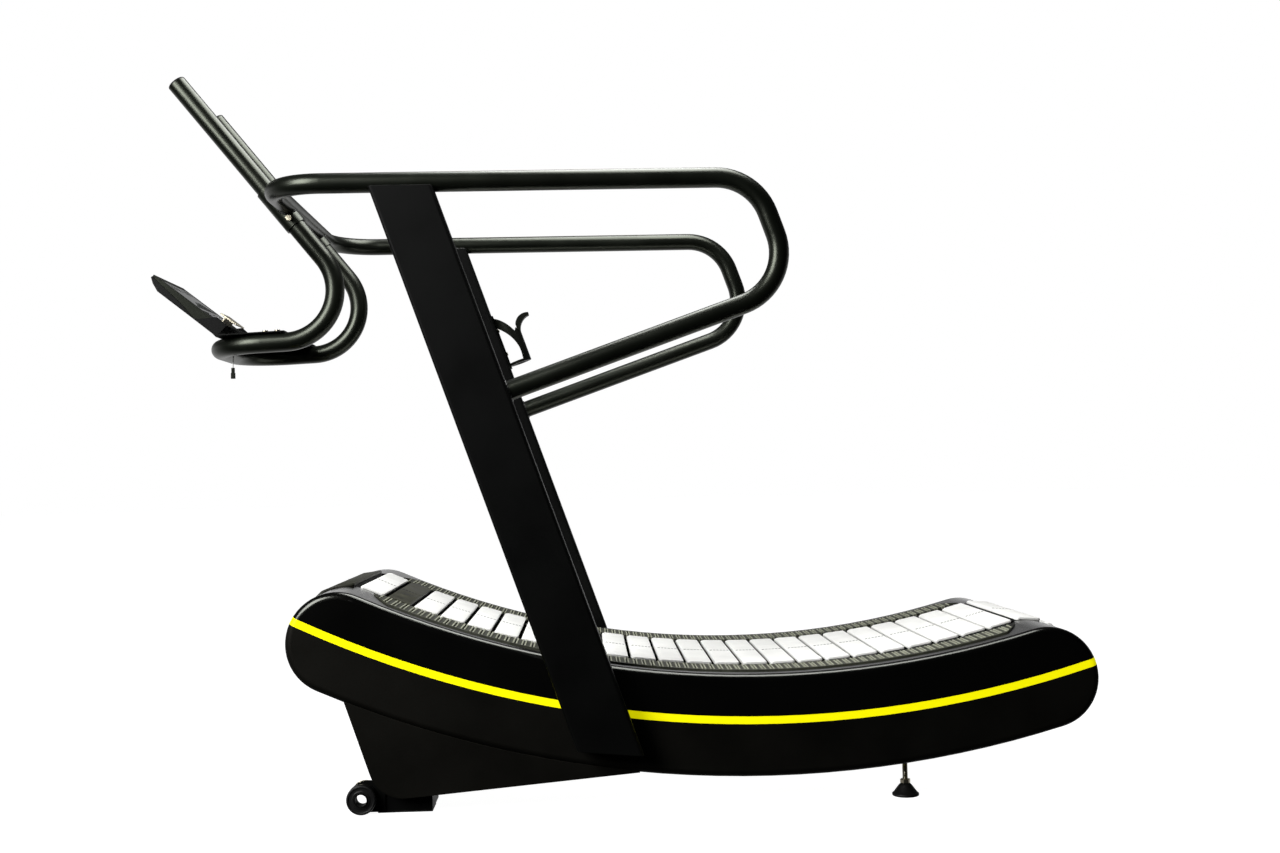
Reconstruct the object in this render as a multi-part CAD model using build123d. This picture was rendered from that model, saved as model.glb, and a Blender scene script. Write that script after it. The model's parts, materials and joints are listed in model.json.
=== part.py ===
from build123d import *

import os
from math import asin, atan2, cos, degrees, hypot, pi, radians, sin, sqrt

# Curved manual treadmill. Millimetres, +Z up, +X towards the rear of the running bed, +Y to the far side.
# Shapes are laid out in the bed frame, where X = 0 is the middle of the bed. ORIGIN_SHIFT_X then moves
# everything so that X = 0 is the middle of the whole machine. Z = 0 is the floor.

# ---- driving dimensions --------------------------------------------------------------------------
ORIGIN_SHIFT_X = 171.0
GAP = 0.3                       # clearance between curved faces that meet

# Running bed: everything follows one arc, hollow side up.
ARC_X, ARC_Z, ARC_R = 150.0, 2362.0, 2197.0
FRONT_X, REAR_X = -752.0, 745.0          # drum centres
COVER_HALF = 107.0                       # half depth of the side covers, and their nose radius
COVER_WALL = 4.0
COVER_EDGE = 15.0                        # rounding of the covers' outer edges
COVER_INNER_Y, COVER_OUTER_Y = 217.5, 385.0
LIP_Y = 348.0                            # inner edge of the cover's plain top lip
CAP_X = 665.0                            # beyond this the cover wraps the whole nose
FLANGE_Y = 352.0                         # inner edge of the cover's bottom return flange
STRIP_TOP_R, RAIL_TOP_R = 2086.0, 2096.0  # foot rest strips' and rails' top faces, from the arc's centre

# Accent stripe
STRIPE_X, STRIPE_Z, STRIPE_R, STRIPE_W = 162.0, 2470.0, 2293.4, 16.0

# Belt
SLAT_COUNT = 59
SLAT_LENGTH, SLAT_WIDTH, SLAT_THICK = 430.0, 57.0, 13.7
PITCH_R = 98.0                           # radius of the belt's pitch line on the drums
RETURN_R = 3186.0                        # sag radius of the return run's pitch line
SLAT_PHASE = 8.0
BELT_THICK = 6.0
BELT_Y = (180.0, 208.0)

# Side beams, shafts and bearings
WEB_HALF = 92.0
WEB_Y = (218.0, 224.0)
SHAFT_R = 15.0
BORE_CLEARANCE = 0.05
SUPPORT_R = 16.0
SUPPORT_COUNT = 17
CROSS_MEMBER_X = (-560, -250, 130, 510)
RAIL_X = (-650, 645)                     # ends of the foot rest rails
RAIL_LEG, RAIL_WALL = 15, 4              # rail's upright leg and its thickness

# Uprights and tubes
LEAN = 19.2                              # degrees from vertical
UPRIGHT_X_AT_TOP, UPRIGHT_TOP_Z = -596.8, 1303.0
UPRIGHT_DEPTH, UPRIGHT_WIDTH, UPRIGHT_WALL = 125.0, 60.0, 3.0
UPRIGHT_Y = 415.0
OUTRIGGER_Z, OUTRIGGER_BOLT_R = 200.0, 5.0
TUBE_R, TUBE_WALL, BEND_R = 21.2, 2.5, 115.0
RAIL_Z = 1315.0
STRUT_END_X = -405.0                     # inside the upright, which then cuts the strut
HANDLE_Y = 170.0
CROSS_TUBE_X = -880.0
HANDLE_TOP = (-1123.0, 1595.0)
HANDLE_ELBOW = (-662.5, 1020.8)
CROSSBAR = (-1059.0, 1003.0)
SLEEVE_R = 24.6
SLEEVE_Z = (1352.0, 1270.0)              # heights of the sleeves' ends
SET_SCREW_Z = 1284.0

# Base
FOOT_X = (-676.0, -562.0)
FOOT_Y = (224.0, 345.0)
FOOT_Z = (3.0, 45.0)
FOOT_WALL = 3.0
SKIRT_Y = (376.0, 380.0)
SKIRT_FRONT_TOP, SKIRT_TOE, SKIRT_REAR_TIP = (-738, 237), (-668, 31), (-126, 74.6)
SKIRT_TOE_R, SKIRT_CLOSING_Z = 75, 400   # its upper part is then cut to the cover
FRONT_PANEL = ((-731, 225), (-728, 225), (-676, 72), (-679, 72))
LEG_X, LEG_Y, LEG_TOP, LEG_WALL = (-655, -595), (-264, -224), 285, 3
FOOT_BEAM_X, FOOT_BEAM_Z, FOOT_BEAM_WALL = (-650, -600), (50, 90), 3
WHEEL_X, WHEEL_Z, WHEEL_R = -707.0, 33.0, 31.0
AXLE_R, AXLE_BORE_R = 15.0, 12.0
LEVEL_X, LEVEL_Y, LEVEL_STEM_R = 441.5, 330.0, 6.0

# Console
PANEL_TIP = (-1196.0, 1175.0)
PANEL_ANGLE = 38.2                       # the panel's slope below the horizontal
PANEL_HALF_WIDTH = 120.0
BUTTON_DOWN = 146.0                      # from the panel's tip to the row of buttons
BUTTON_SPOTS = (-50.0, 0.0, 50.0)
BRACKET_SCREWS = (125.0, 152.0)          # along the handles' lower legs
BRACKET_THICK = 3.0

# Sensor lead: the route of its centre line, from its grommet down to its connector
LEAD_POINTS = [(-1028.6, -80, 1020), (-1027.6, -79.4, 992), (-1029.2, -80.6, 962)]
LEAD_R, LEAD_BEND_R = 1.2, 230.0
GROMMET_R, GROMMET_DEPTH = 3.7, 8.0

# Bottle cage
CAGE_R, CAGE_WALL, CAGE_BASE_Z = 29.5, 3.5, 990.0
CAGE_SCREW_HEIGHTS = (35.0, 100.0)


# ---- helpers -------------------------------------------------------------------------------------
def arc_z(x, radius=ARC_R):
    """Height, at x, of the circle of the given radius about the bed's arc centre."""
    return ARC_Z - sqrt(radius**2 - (x - ARC_X) ** 2)


FRONT = (FRONT_X, arc_z(FRONT_X))
REAR = (REAR_X, arc_z(REAR_X))


def side_view(sketch, y_low, y_high):
    """Extrude a sketch drawn as (X, Z) between two Y positions."""
    plane = Plane(origin=(0, y_low, 0), x_dir=(1, 0, 0), z_dir=(0, -1, 0))
    return extrude(plane * sketch, amount=-(y_high - y_low))


def disc(x, z, radius, y_low, y_high):
    """Round bar along Y."""
    return side_view(Pos(x, z) * Circle(radius), y_low, y_high)


def block(x, y, z):
    """Box between pairs of limits."""
    size = [high - low for low, high in (x, y, z)]
    middle = [(high + low) / 2 for low, high in (x, y, z)]
    return Pos(*middle) * Box(*size)


def both_sides(shape):
    """The near-side shape and its mirror image on the far side."""
    return [shape, mirror(shape, about=Plane.XZ)]


def polar(angle, radius):
    """Point on the bed's arc; the angle is from straight down, positive to the rear."""
    return (ARC_X + radius * sin(radians(angle)), ARC_Z - radius * cos(radians(angle)))


def arc_band(r_top, r_bottom, x_low, x_high):
    """Band between two radii of the bed's arc, from x_low to x_high on its upper edge."""
    low = degrees(asin((x_low - ARC_X) / r_top))
    high = degrees(asin((x_high - ARC_X) / r_top))
    middle = (low + high) / 2
    outline = [
        ThreePointArc(polar(low, r_top), polar(middle, r_top), polar(high, r_top)),
        Line(polar(high, r_top), polar(high, r_bottom)),
        ThreePointArc(polar(high, r_bottom), polar(middle, r_bottom), polar(low, r_bottom)),
        Line(polar(low, r_bottom), polar(low, r_top)),
    ]
    return make_face(outline)


def bent_slot(half):
    """Slot of the given half depth that follows the bed's arc and ends in half circles at the drums."""
    front, rear = (degrees(asin((x - ARC_X) / ARC_R)) for x in (FRONT_X, REAR_X))
    middle = (front + rear) / 2
    top, bottom = ARC_R - half, ARC_R + half

    def nose(centre, outward):
        slope = radians(outward)
        return (centre[0] + half * cos(slope), centre[1] + half * sin(slope))

    outline = [
        ThreePointArc(polar(front, top), polar(middle, top), polar(rear, top)),
        ThreePointArc(polar(rear, top), nose(REAR, rear), polar(rear, bottom)),
        ThreePointArc(polar(rear, bottom), polar(middle, bottom), polar(front, bottom)),
        ThreePointArc(polar(front, bottom), nose(FRONT, front + 180), polar(front, top)),
    ]
    return make_face(outline)


def tube(points, radii, outer=TUBE_R, wall=TUBE_WALL):
    """Round tube along straight runs joined by tangent bends."""
    path = FilletPolyline(*points, radius=radii)
    start = Plane(origin=path @ 0, z_dir=path % 0)
    return sweep(start * (Circle(outer) - Circle(outer - wall)), path=path)


def rod(start, end, radius):
    """Straight round rod between two points."""
    axis = Vector(*end) - Vector(*start)
    return extrude(Plane(origin=start, z_dir=axis) * Circle(radius), amount=axis.length)


# ---- belt path -----------------------------------------------------------------------------------
def belt_path(offset=0.0):
    """Pitch line of the belt, pushed outwards by offset, as (length, point-and-angle function) pieces.

    The belt runs along the hollow top arc to the rear drum, round it, back along the slack
    return run and round the front drum."""
    drum = PITCH_R + offset
    span = hypot(REAR[0] - FRONT[0], REAR[1] - FRONT[1])
    reach = RETURN_R - PITCH_R
    tilt = atan2(REAR[1] - FRONT[1], REAR[0] - FRONT[0])
    rise = sqrt(reach**2 - (span / 2) ** 2)
    middle = ((FRONT[0] + REAR[0]) / 2, (FRONT[1] + REAR[1]) / 2)
    return_centre = (middle[0] - rise * sin(tilt), middle[1] + rise * cos(tilt))
    top_front, top_rear = (asin((x - ARC_X) / ARC_R) for x in (FRONT_X, REAR_X))
    half_return = asin(span / 2 / reach)
    low_rear, low_front = tilt + half_return, tilt - half_return
    return [
        ("top", (ARC_X, ARC_Z), ARC_R - drum, top_front, top_rear),
        ("drum", REAR, drum, top_rear + pi, low_rear),
        ("return", return_centre, RETURN_R + offset, low_rear, low_front),
        ("drum", FRONT, drum, low_front, top_front - pi),
    ]


def path_point(centre, radius, angle):
    """Point at an angle measured from straight down, positive towards the rear."""
    return (centre[0] + radius * sin(angle), centre[1] - radius * cos(angle))


def belt_outline(offset):
    """Closed face bounded by the belt's path at the given offset."""
    edges = []
    for _, centre, radius, start, stop in belt_path(offset):
        points = [path_point(centre, radius, start + (stop - start) * t) for t in (0, 0.5, 1)]
        edges.append(ThreePointArc(*points))
    return make_face(edges)


def slat_places():
    """Middle of each slat's inner face on the pitch line, with its slope in degrees."""
    pieces = belt_path()
    lengths = [radius * abs(stop - start) for _, _, radius, start, stop in pieces]
    pitch = sum(lengths) / SLAT_COUNT
    places = []
    for index in range(SLAT_COUNT):
        along = index * pitch + SLAT_PHASE
        for (kind, centre, radius, start, stop), length in zip(pieces, lengths):
            if along <= length:
                angle = start + (stop - start) * along / length
                slope = angle if kind == "top" else angle + pi
                places.append((path_point(centre, radius, angle), degrees(slope)))
                break
            along -= length
    return places


def make_slats():
    """Aluminium slats with rounded treads, bolted across the two drive belts."""
    tread = Pos(0, SLAT_THICK / 2 + GAP) * Rectangle(SLAT_WIDTH, SLAT_THICK)
    tread = fillet(tread.vertices().group_by(Axis.Y)[-1], 3)
    slat = side_view(tread, -SLAT_LENGTH / 2, SLAT_LENGTH / 2)
    return [Pos(x, 0, z) * Rot(0, -slope, 0) * slat for (x, z), slope in slat_places()]


def make_drive_belts():
    """Closed ribbed belts under both ends of the slats."""
    return both_sides(side_view(belt_outline(0) - belt_outline(-BELT_THICK), -BELT_Y[1], -BELT_Y[0]))


# ---- shafts, pulleys and bearings ----------------------------------------------------------------
def make_shaft(centre):
    """Drum shaft through both side beams."""
    return [disc(*centre, SHAFT_R, -262, 262)]


def make_pulleys(centre):
    """Pair of belt pulleys with a lightened web and a hub."""
    x, z = centre
    rim_r = PITCH_R - BELT_THICK - GAP
    rim = Pos(x, z) * (Circle(rim_r) - Circle(rim_r - 9))
    web = Pos(x, z) * (Circle(rim_r - 8) - Circle(SHAFT_R + BORE_CLEARANCE))
    for hole in range(6):
        turn = radians(60 * hole + 30)
        web -= Pos(x + 53 * cos(turn), z + 53 * sin(turn)) * Circle(17)
    hub = Pos(x, z) * (Circle(28) - Circle(SHAFT_R + BORE_CLEARANCE))
    pulley = side_view(rim, -210, -178)
    pulley += side_view(web, -199, -189)
    pulley += side_view(hub, -209, -179)
    return both_sides(pulley)


def make_shaft_bearings():
    """Square flange bearings on the outer faces of the side beams."""
    bearings = []
    for x, z in (FRONT, REAR):
        flange = Pos(x, z) * Rectangle(86, 86)
        flange = fillet(flange.vertices(), 16)
        bore = Circle(SHAFT_R + BORE_CLEARANCE)
        bearing = side_view(flange - Pos(x, z) * bore, -WEB_Y[1] - 12, -WEB_Y[1])
        bearing += side_view(Pos(x, z) * (Circle(31) - bore), -WEB_Y[1] - 30, -WEB_Y[1])
        for dx, dz in ((-32, -32), (-32, 32), (32, -32), (32, 32)):
            bearing += side_view(Pos(x + dx, z + dz) * RegularPolygon(8, 6), -WEB_Y[1] - 18, -WEB_Y[1] - 12)
        bearings += both_sides(bearing)
    return bearings


def support_points():
    """Centres of the small bearings that carry the belt along the hollow arc."""
    radius = ARC_R - PITCH_R + BELT_THICK + GAP + SUPPORT_R
    first, last = -20.6, 12.4
    step = (last - first) / (SUPPORT_COUNT - 1)
    return [polar(first + step * i, radius) for i in range(SUPPORT_COUNT)]


def make_support_bearings():
    """Small ball bearings under both drive belts, one row a side."""
    rings = []
    for x, z in support_points():
        ring = side_view(Pos(x, z) * (Circle(SUPPORT_R) - Circle(6.05)), -205, -195)
        rings += both_sides(ring)
    return rings


def make_support_bolts():
    """Shouldered bolts that hold the support bearings to the side beams."""
    bolts = []
    for x, z in support_points():
        bolt = disc(x, z, 6, -230, -193)
        bolt += disc(x, z, 9, -193, -189)
        bolt += disc(x, z, 9, -WEB_Y[0], -205.3)
        bolt += side_view(Pos(x, z) * RegularPolygon(9.5, 6), -WEB_Y[1] - 7, -WEB_Y[1])
        bolts += both_sides(bolt)
    return bolts


# ---- side beams and frame ------------------------------------------------------------------------
def make_side_beams():
    """Curved steel side plates with holes for the shafts and the support bolts."""
    web = bent_slot(WEB_HALF)
    for centre in (FRONT, REAR):
        web -= Pos(*centre) * Circle(SHAFT_R + 6)
    for x, z in support_points():
        web -= Pos(x, z) * Circle(6.3)
    return both_sides(side_view(web, -WEB_Y[1], -WEB_Y[0]))


def make_cross_tubes():
    """Rectangular tubes that tie the side beams together between the belt's two runs."""
    section = Rectangle(60, 40) - Rectangle(54, 34)
    tubes = []
    for x in CROSS_MEMBER_X:
        slope = degrees(asin((x - ARC_X) / ARC_R))
        tubes.append(side_view(Pos(x, arc_z(x, 2200)) * Rot(0, 0, slope) * section, -WEB_Y[0], WEB_Y[0]))
    return tubes


def make_foot_rest_rails():
    """Curved angles on the side beams that carry the foot rest strips."""
    upright_leg = arc_band(RAIL_TOP_R, RAIL_TOP_R + RAIL_LEG, *RAIL_X)
    flat_leg = arc_band(RAIL_TOP_R, RAIL_TOP_R + RAIL_WALL, *RAIL_X)
    rail = side_view(upright_leg, -WEB_Y[1] - RAIL_WALL, -WEB_Y[1])
    rail += side_view(flat_leg, -LIP_Y + 3, -WEB_Y[1])
    return both_sides(rail)


def upright_x(z):
    """X of the upright's centre line at height z."""
    return UPRIGHT_X_AT_TOP + (UPRIGHT_TOP_Z - z) * sin(radians(LEAN)) / cos(radians(LEAN))


def upright_bar(grow, corner):
    """Solid bar of the upright's section, grown by an amount, long enough to be trimmed at both ends."""
    section = Rectangle(UPRIGHT_DEPTH + 2 * grow, UPRIGHT_WIDTH + 2 * grow)
    section = fillet(section.vertices(), corner)
    axis = Vector(-sin(radians(LEAN)), 0, cos(radians(LEAN)))
    middle = (upright_x(700), -UPRIGHT_Y, 700)
    plane = Plane(origin=middle, x_dir=(cos(radians(LEAN)), 0, sin(radians(LEAN))), z_dir=axis)
    return extrude(plane * section, amount=720, both=True)


def below(z_left, z_right, x_left, x_right, depth=900):
    """Large wedge below a sloping line, used to trim the upright's foot."""
    slope = (z_right - z_left) / (x_right - x_left)
    left, right = -1200, 600
    outline = Polyline((left, z_left + slope * (left - x_left)), (right, z_left + slope * (right - x_left)),
                       (right, -depth), (left, -depth), close=True)
    return side_view(make_face(outline), -700, 0)


def foot_wedge(lift=0.0):
    """Wedge below the upright's sloping foot, lifted by an amount."""
    return below(133 + lift, 120.6 + lift, -254, -121)


def outrigger_bolt_points():
    """Where the two bolts of each side go through the upright's inner wall."""
    x, z = upright_x(OUTRIGGER_Z), OUTRIGGER_Z
    along = (-sin(radians(LEAN)), cos(radians(LEAN)))
    return [(x + along[0] * step, z + along[1] * step) for step in (-28, 28)]


def make_upright():
    """Leaning rectangular tube, saddled to the handrail at its top, closed by a plug at its foot."""
    above_top = block((-1300, 0), (-700, 0), (UPRIGHT_TOP_Z, 2000))
    bar = upright_bar(0, 7) - foot_wedge() - above_top
    hollow = upright_bar(-UPRIGHT_WALL, 4) - Pos(0, 0, -13) * above_top
    bar -= hollow
    bar -= rod((-1000, -UPRIGHT_Y, RAIL_Z), (0, -UPRIGHT_Y, RAIL_Z), TUBE_R + GAP)
    for x, z in outrigger_bolt_points():
        bar -= disc(x, z, OUTRIGGER_BOLT_R + GAP, -400, -380)
    return bar


def make_upright_caps():
    """Plastic plugs in the feet of the uprights."""
    plug_depth = 8
    plug = (upright_bar(-UPRIGHT_WALL - 0.2, 3.5) - foot_wedge()) & foot_wedge(plug_depth)
    return both_sides(plug)


def make_outriggers():
    """Steel stubs that carry the uprights out from the side beams, through the covers."""
    place = Pos(upright_x(OUTRIGGER_Z), OUTRIGGER_Z) * Rot(0, 0, LEAN)
    stub = side_view(place * (Rectangle(80, 110) - Rectangle(72, 102)), -377, -WEB_Y[1])
    plate = side_view(place * Rectangle(80, 110), -COVER_OUTER_Y, -377)
    for bolt_x, bolt_z in outrigger_bolt_points():
        plate -= disc(bolt_x, bolt_z, OUTRIGGER_BOLT_R + GAP, -400, -370)
    return both_sides(stub + plate)


def make_upright_bolts():
    """Hex bolts from inside the outriggers into the uprights, with nuts inside the uprights."""
    bolts = []
    for x, z in outrigger_bolt_points():
        bolt = disc(x, z, OUTRIGGER_BOLT_R, -402, -377)
        bolt += side_view(Pos(x, z) * RegularPolygon(9, 6), -377, -370)
        bolt += side_view(Pos(x, z) * RegularPolygon(9, 6), -396, -388)
        bolts += both_sides(bolt)
    return bolts


# ---- handrails and push handles ------------------------------------------------------------------
def strut_z(x):
    """Height of the strut's centre line."""
    return 898.6 + 0.3482 * (x + 316.8)


def make_handrail():
    """One bent tube: half the front bow, the grab rail, the rear loop and the strut to the upright."""
    y = -UPRIGHT_Y
    points = [
        (CROSS_TUBE_X, -HANDLE_Y, RAIL_Z),
        (CROSS_TUBE_X, y, RAIL_Z),
        (140, y, RAIL_Z),
        (220.5, y, 1086),
        (STRUT_END_X, y, strut_z(STRUT_END_X)),
    ]
    rail = tube(points, BEND_R)
    rail -= upright_bar(0, 7) & block((-600, 0), (-700, 0), (700, 1200))
    return rail - handle_rod(SLEEVE_R + GAP)


def handle_rod(radius):
    """Solid rod along the near push handle's straight grip."""
    run = Vector(HANDLE_ELBOW[0] - HANDLE_TOP[0], 0, HANDLE_ELBOW[1] - HANDLE_TOP[1])
    start = Vector(HANDLE_TOP[0], -HANDLE_Y, HANDLE_TOP[1])
    return rod(start + run * 0.25, start + run * 0.62, radius)


def make_front_cross_tube():
    """Middle of the front bow, between the two handle sleeves."""
    ring = Circle(TUBE_R) - Circle(TUBE_R - TUBE_WALL)
    bar = side_view(Pos(CROSS_TUBE_X, RAIL_Z) * ring, -HANDLE_Y, HANDLE_Y)
    for cut in both_sides(handle_rod(SLEEVE_R + GAP)):
        bar -= cut
    return [bar]


def handle_point(z):
    """Point of the near grip's centre line at height z."""
    share = (HANDLE_TOP[1] - z) / (HANDLE_TOP[1] - HANDLE_ELBOW[1])
    return (HANDLE_TOP[0] + share * (HANDLE_ELBOW[0] - HANDLE_TOP[0]), -HANDLE_Y, z)


def make_sleeves():
    """Sockets welded to the front bow that hold the push handles."""
    high, low = (handle_point(z) for z in SLEEVE_Z)
    bore = rod(handle_point(SLEEVE_Z[0] + 20), handle_point(SLEEVE_Z[1] - 20), TUBE_R + GAP)
    sleeve = rod(high, low, SLEEVE_R) - bore
    x, _, z = handle_point(SET_SCREW_Z)
    sleeve -= disc(x, z, 4.1, -HANDLE_Y - 30, -HANDLE_Y)
    return both_sides(sleeve)


def make_set_screws():
    """Knurled screws that clamp the handles in their sleeves."""
    x, _, z = handle_point(SET_SCREW_Z)
    screw = disc(x, z, 4, -HANDLE_Y - SLEEVE_R - 2, -HANDLE_Y - TUBE_R - 0.6)
    screw += disc(x, z, 6.5, -HANDLE_Y - SLEEVE_R - 7, -HANDLE_Y - SLEEVE_R - 1)
    return both_sides(screw)


def make_push_handle():
    """Grip, hook bend and half of the console crossbar, in one bent tube."""
    top, elbow, corner = HANDLE_TOP, HANDLE_ELBOW, CROSSBAR
    points = [
        (top[0], -HANDLE_Y, top[1]),
        (elbow[0], -HANDLE_Y, elbow[1]),
        (corner[0], -HANDLE_Y, corner[1]),
        (corner[0], 0, corner[1]),
    ]
    handle = tube(points, BEND_R)
    for hole in bracket_screw_rods(3.3):
        handle -= hole
    return handle


def make_handle_caps():
    """Domed plugs in the grips' upper ends."""
    run = Vector(HANDLE_TOP[0] - HANDLE_ELBOW[0], 0, HANDLE_TOP[1] - HANDLE_ELBOW[1]).normalized()
    start = Vector(HANDLE_TOP[0], -HANDLE_Y, HANDLE_TOP[1])
    cap = rod(start, start + run * 4, TUBE_R)
    cap = fillet(cap.faces().sort_by(Axis.Z)[-1].edges(), 2.5)
    cap += rod(start - run * 14, start, TUBE_R - TUBE_WALL - GAP)
    return both_sides(cap)


# ---- console -------------------------------------------------------------------------------------
LEG_TILT = degrees(atan2(HANDLE_ELBOW[1] - CROSSBAR[1], HANDLE_ELBOW[0] - CROSSBAR[0]))


def leg_frame():
    """Placement at the crossbar corner, with local X rearwards along the handles' lower legs."""
    return Pos(CROSSBAR[0], 0, CROSSBAR[1]) * Rot(0, -LEG_TILT, 0)


def bracket_screw_rods(radius):
    """Rods at the near leg's two bracket screws."""
    return [leg_frame() * Pos(along, -HANDLE_Y, TUBE_R) * Cylinder(radius, 16) for along in BRACKET_SCREWS]


def panel_point(down, depth):
    """(X, Z) of a point given by its distance down the panel from its tip and its depth below its face."""
    turn = radians(PANEL_ANGLE)
    return (PANEL_TIP[0] + down * cos(turn) - depth * sin(turn),
            PANEL_TIP[1] - down * sin(turn) - depth * cos(turn))


def panel_side(points):
    """Closed outline given as (distance down the panel, depth below its face)."""
    return make_face(Polyline(*[panel_point(*point) for point in points], close=True))


def make_console_bracket():
    """Folded plate across the two lower legs; its sloping flange rises to the cradle's rear wall."""
    y = HANDLE_Y + 17
    low = TUBE_R + GAP
    plate = leg_frame() * block((20, 170), (-y, y), (low, low + BRACKET_THICK))
    flange = make_face(Polyline(panel_point(202.92, -6), panel_point(202.57, -2.9), (-990, 1029.5),
                                (-984, 1032), close=True))
    plate += side_view(flange, -90, 90)
    for hole in bracket_screw_rods(3.3):
        plate -= hole
        plate -= mirror(hole, about=Plane.XZ)
    return [plate - lead_hole()]


def lead_hole():
    """Hole for the sensor lead's grommet."""
    x, y, z = LEAD_POINTS[0]
    return Pos(x, y, z + GROMMET_DEPTH) * Cylinder(GROMMET_R + GAP, 30)


def make_bracket_screws():
    """Pan head screws that fix the console bracket to the handles' legs."""
    screws = []
    head_height = 4
    head_middle = TUBE_R + GAP + BRACKET_THICK + head_height / 2
    for along in BRACKET_SCREWS:
        screw = leg_frame() * Pos(along, -HANDLE_Y, TUBE_R) * Cylinder(3, 14)
        head = leg_frame() * Pos(along, -HANDLE_Y, head_middle) * Cylinder(6, head_height)
        screws += both_sides(screw + head)
    return screws


def make_console_cradle():
    """Sheet metal tray: a floor, a rear wall and two cheeks that rise beside the rider's end."""
    cheek = panel_side([
        (2.5, 3.5), (0, 8), (12, 17), (31.5, 25.4), (129, 26.2), (188, 27), (199, 28.5),
        (203, -6.8), (173.7, -9.3), (141.4, 20.3), (129, 24), (82, 14.7), (8, 6.6),
    ])
    floor = panel_side([
        (0, 8), (12, 17), (31.5, 25.4), (129, 26.2), (188, 27), (199, 28.5),
        (199, 26.5), (188, 25), (129, 24.2), (31.5, 23.4), (13, 15), (1.8, 7.4),
    ])
    rear_wall = panel_side([(199, 28.5), (203, -6.8), (201, -7), (197, 26.5)])
    half = PANEL_HALF_WIDTH
    tray = side_view(cheek, -half - 2, -half) + side_view(cheek, half, half + 2)
    tray += side_view(floor, -half - 2, half + 2)
    tray += side_view(rear_wall, -half - 2, half + 2)
    return [tray]


def console_plane():
    """Plane on the display face, its origin at the panel's tip, local X down the panel."""
    turn = radians(PANEL_ANGLE)
    return Plane(origin=(PANEL_TIP[0], 0, PANEL_TIP[1]), x_dir=(cos(turn), 0, -sin(turn)),
                 z_dir=(sin(turn), 0, cos(turn)))


def on_panel(shape):
    """Move a shape made in panel coordinates (down, across, above the face) into place."""
    return console_plane().location * shape


def make_console_housing():
    """Hollow wedge-shaped plastic housing with openings for the screen and the buttons."""
    outer = side_view(panel_side([(1, 0), (1, 6), (129, 24.2), (188, 25), (188, 0)]), -119, 119)
    inner = side_view(panel_side([(10, 3), (10, 4.2), (129, 20.7), (185, 21.5), (185, 3)]), -116, 116)
    shell = outer - inner
    shell -= on_panel(block((20, 130), (-96, 96), (-4, 1)))
    for y in BUTTON_SPOTS:
        shell -= on_panel(Pos(BUTTON_DOWN, y, -1.5) * Box(14.6, 30.6, 6))
    return [shell]


def make_console_screen():
    """Clear screen window, flush in the housing's face."""
    return [on_panel(block((20 + GAP, 130 - GAP), (-96 + GAP, 96 - GAP), (-2.5, -0.2)))]


def make_console_board():
    """Circuit board below the screen and the buttons."""
    board = on_panel(block((95, 180), (-100, 100), (-11.6, -10)))
    for y in (-60, 60):
        board += on_panel(block((112, 136), (y - 14, y + 14), (-16, -11.6)))
    return [board]


def make_console_button(y):
    """Push button cap with a stem that stops above the board."""
    cap = on_panel(Pos(BUTTON_DOWN, y, -1) * Box(14, 30, 5))
    cap += on_panel(Pos(BUTTON_DOWN, y, -5.5) * Box(6, 6, 5))
    return [cap]


def make_device_ledge():
    """Small T-shaped clip above the foot of the panel that holds a phone or tablet."""
    clip = [(153, -17), (153, -14), (166, -14), (166, 0), (170, 0), (170, -14), (197, -14), (197, -17)]
    return [side_view(panel_side(clip), -40, 40)]


def make_sensor_lead():
    """Short free lead that hangs out of the console bracket."""
    path = FilletPolyline(*LEAD_POINTS, radius=LEAD_BEND_R)
    start = Plane(origin=path @ 0, z_dir=path % 0)
    return [sweep(start * Circle(LEAD_R), path=path)]


def make_lead_grommet():
    """Rubber grommet in the bracket that the lead comes out of."""
    x, y, z = LEAD_POINTS[0]
    return [Pos(x, y, z + GROMMET_DEPTH / 2) * Cylinder(GROMMET_R, GROMMET_DEPTH)]


def make_lead_connector():
    """Two-pole connector on the lead's end."""
    x, y, z = LEAD_POINTS[-1]
    body = Pos(x, y, z - 6) * Box(7, 5, 12)
    body += Pos(x, y, z - 18.5) * Box(9, 6.5, 13)
    return [body]


# ---- bottle cage ---------------------------------------------------------------------------------
def cage_frame():
    """Placement at the foot of the far upright's rear face, local X away from it, local Z up along it."""
    x = upright_x(CAGE_BASE_Z) + UPRIGHT_DEPTH / 2 / cos(radians(LEAN))
    return Pos(x, UPRIGHT_Y, CAGE_BASE_Z) * Rot(0, -LEAN, 0)


def cage_rods(radius, low, high):
    """Rods square to the far upright's rear face, at the bottle cage's two screws."""
    middle, length = (low + high) / 2, high - low
    rod_shape = Rot(0, 90, 0) * Cylinder(radius, length)
    return [cage_frame() * Pos(middle, 0, height) * rod_shape for height in CAGE_SCREW_HEIGHTS]


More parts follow.
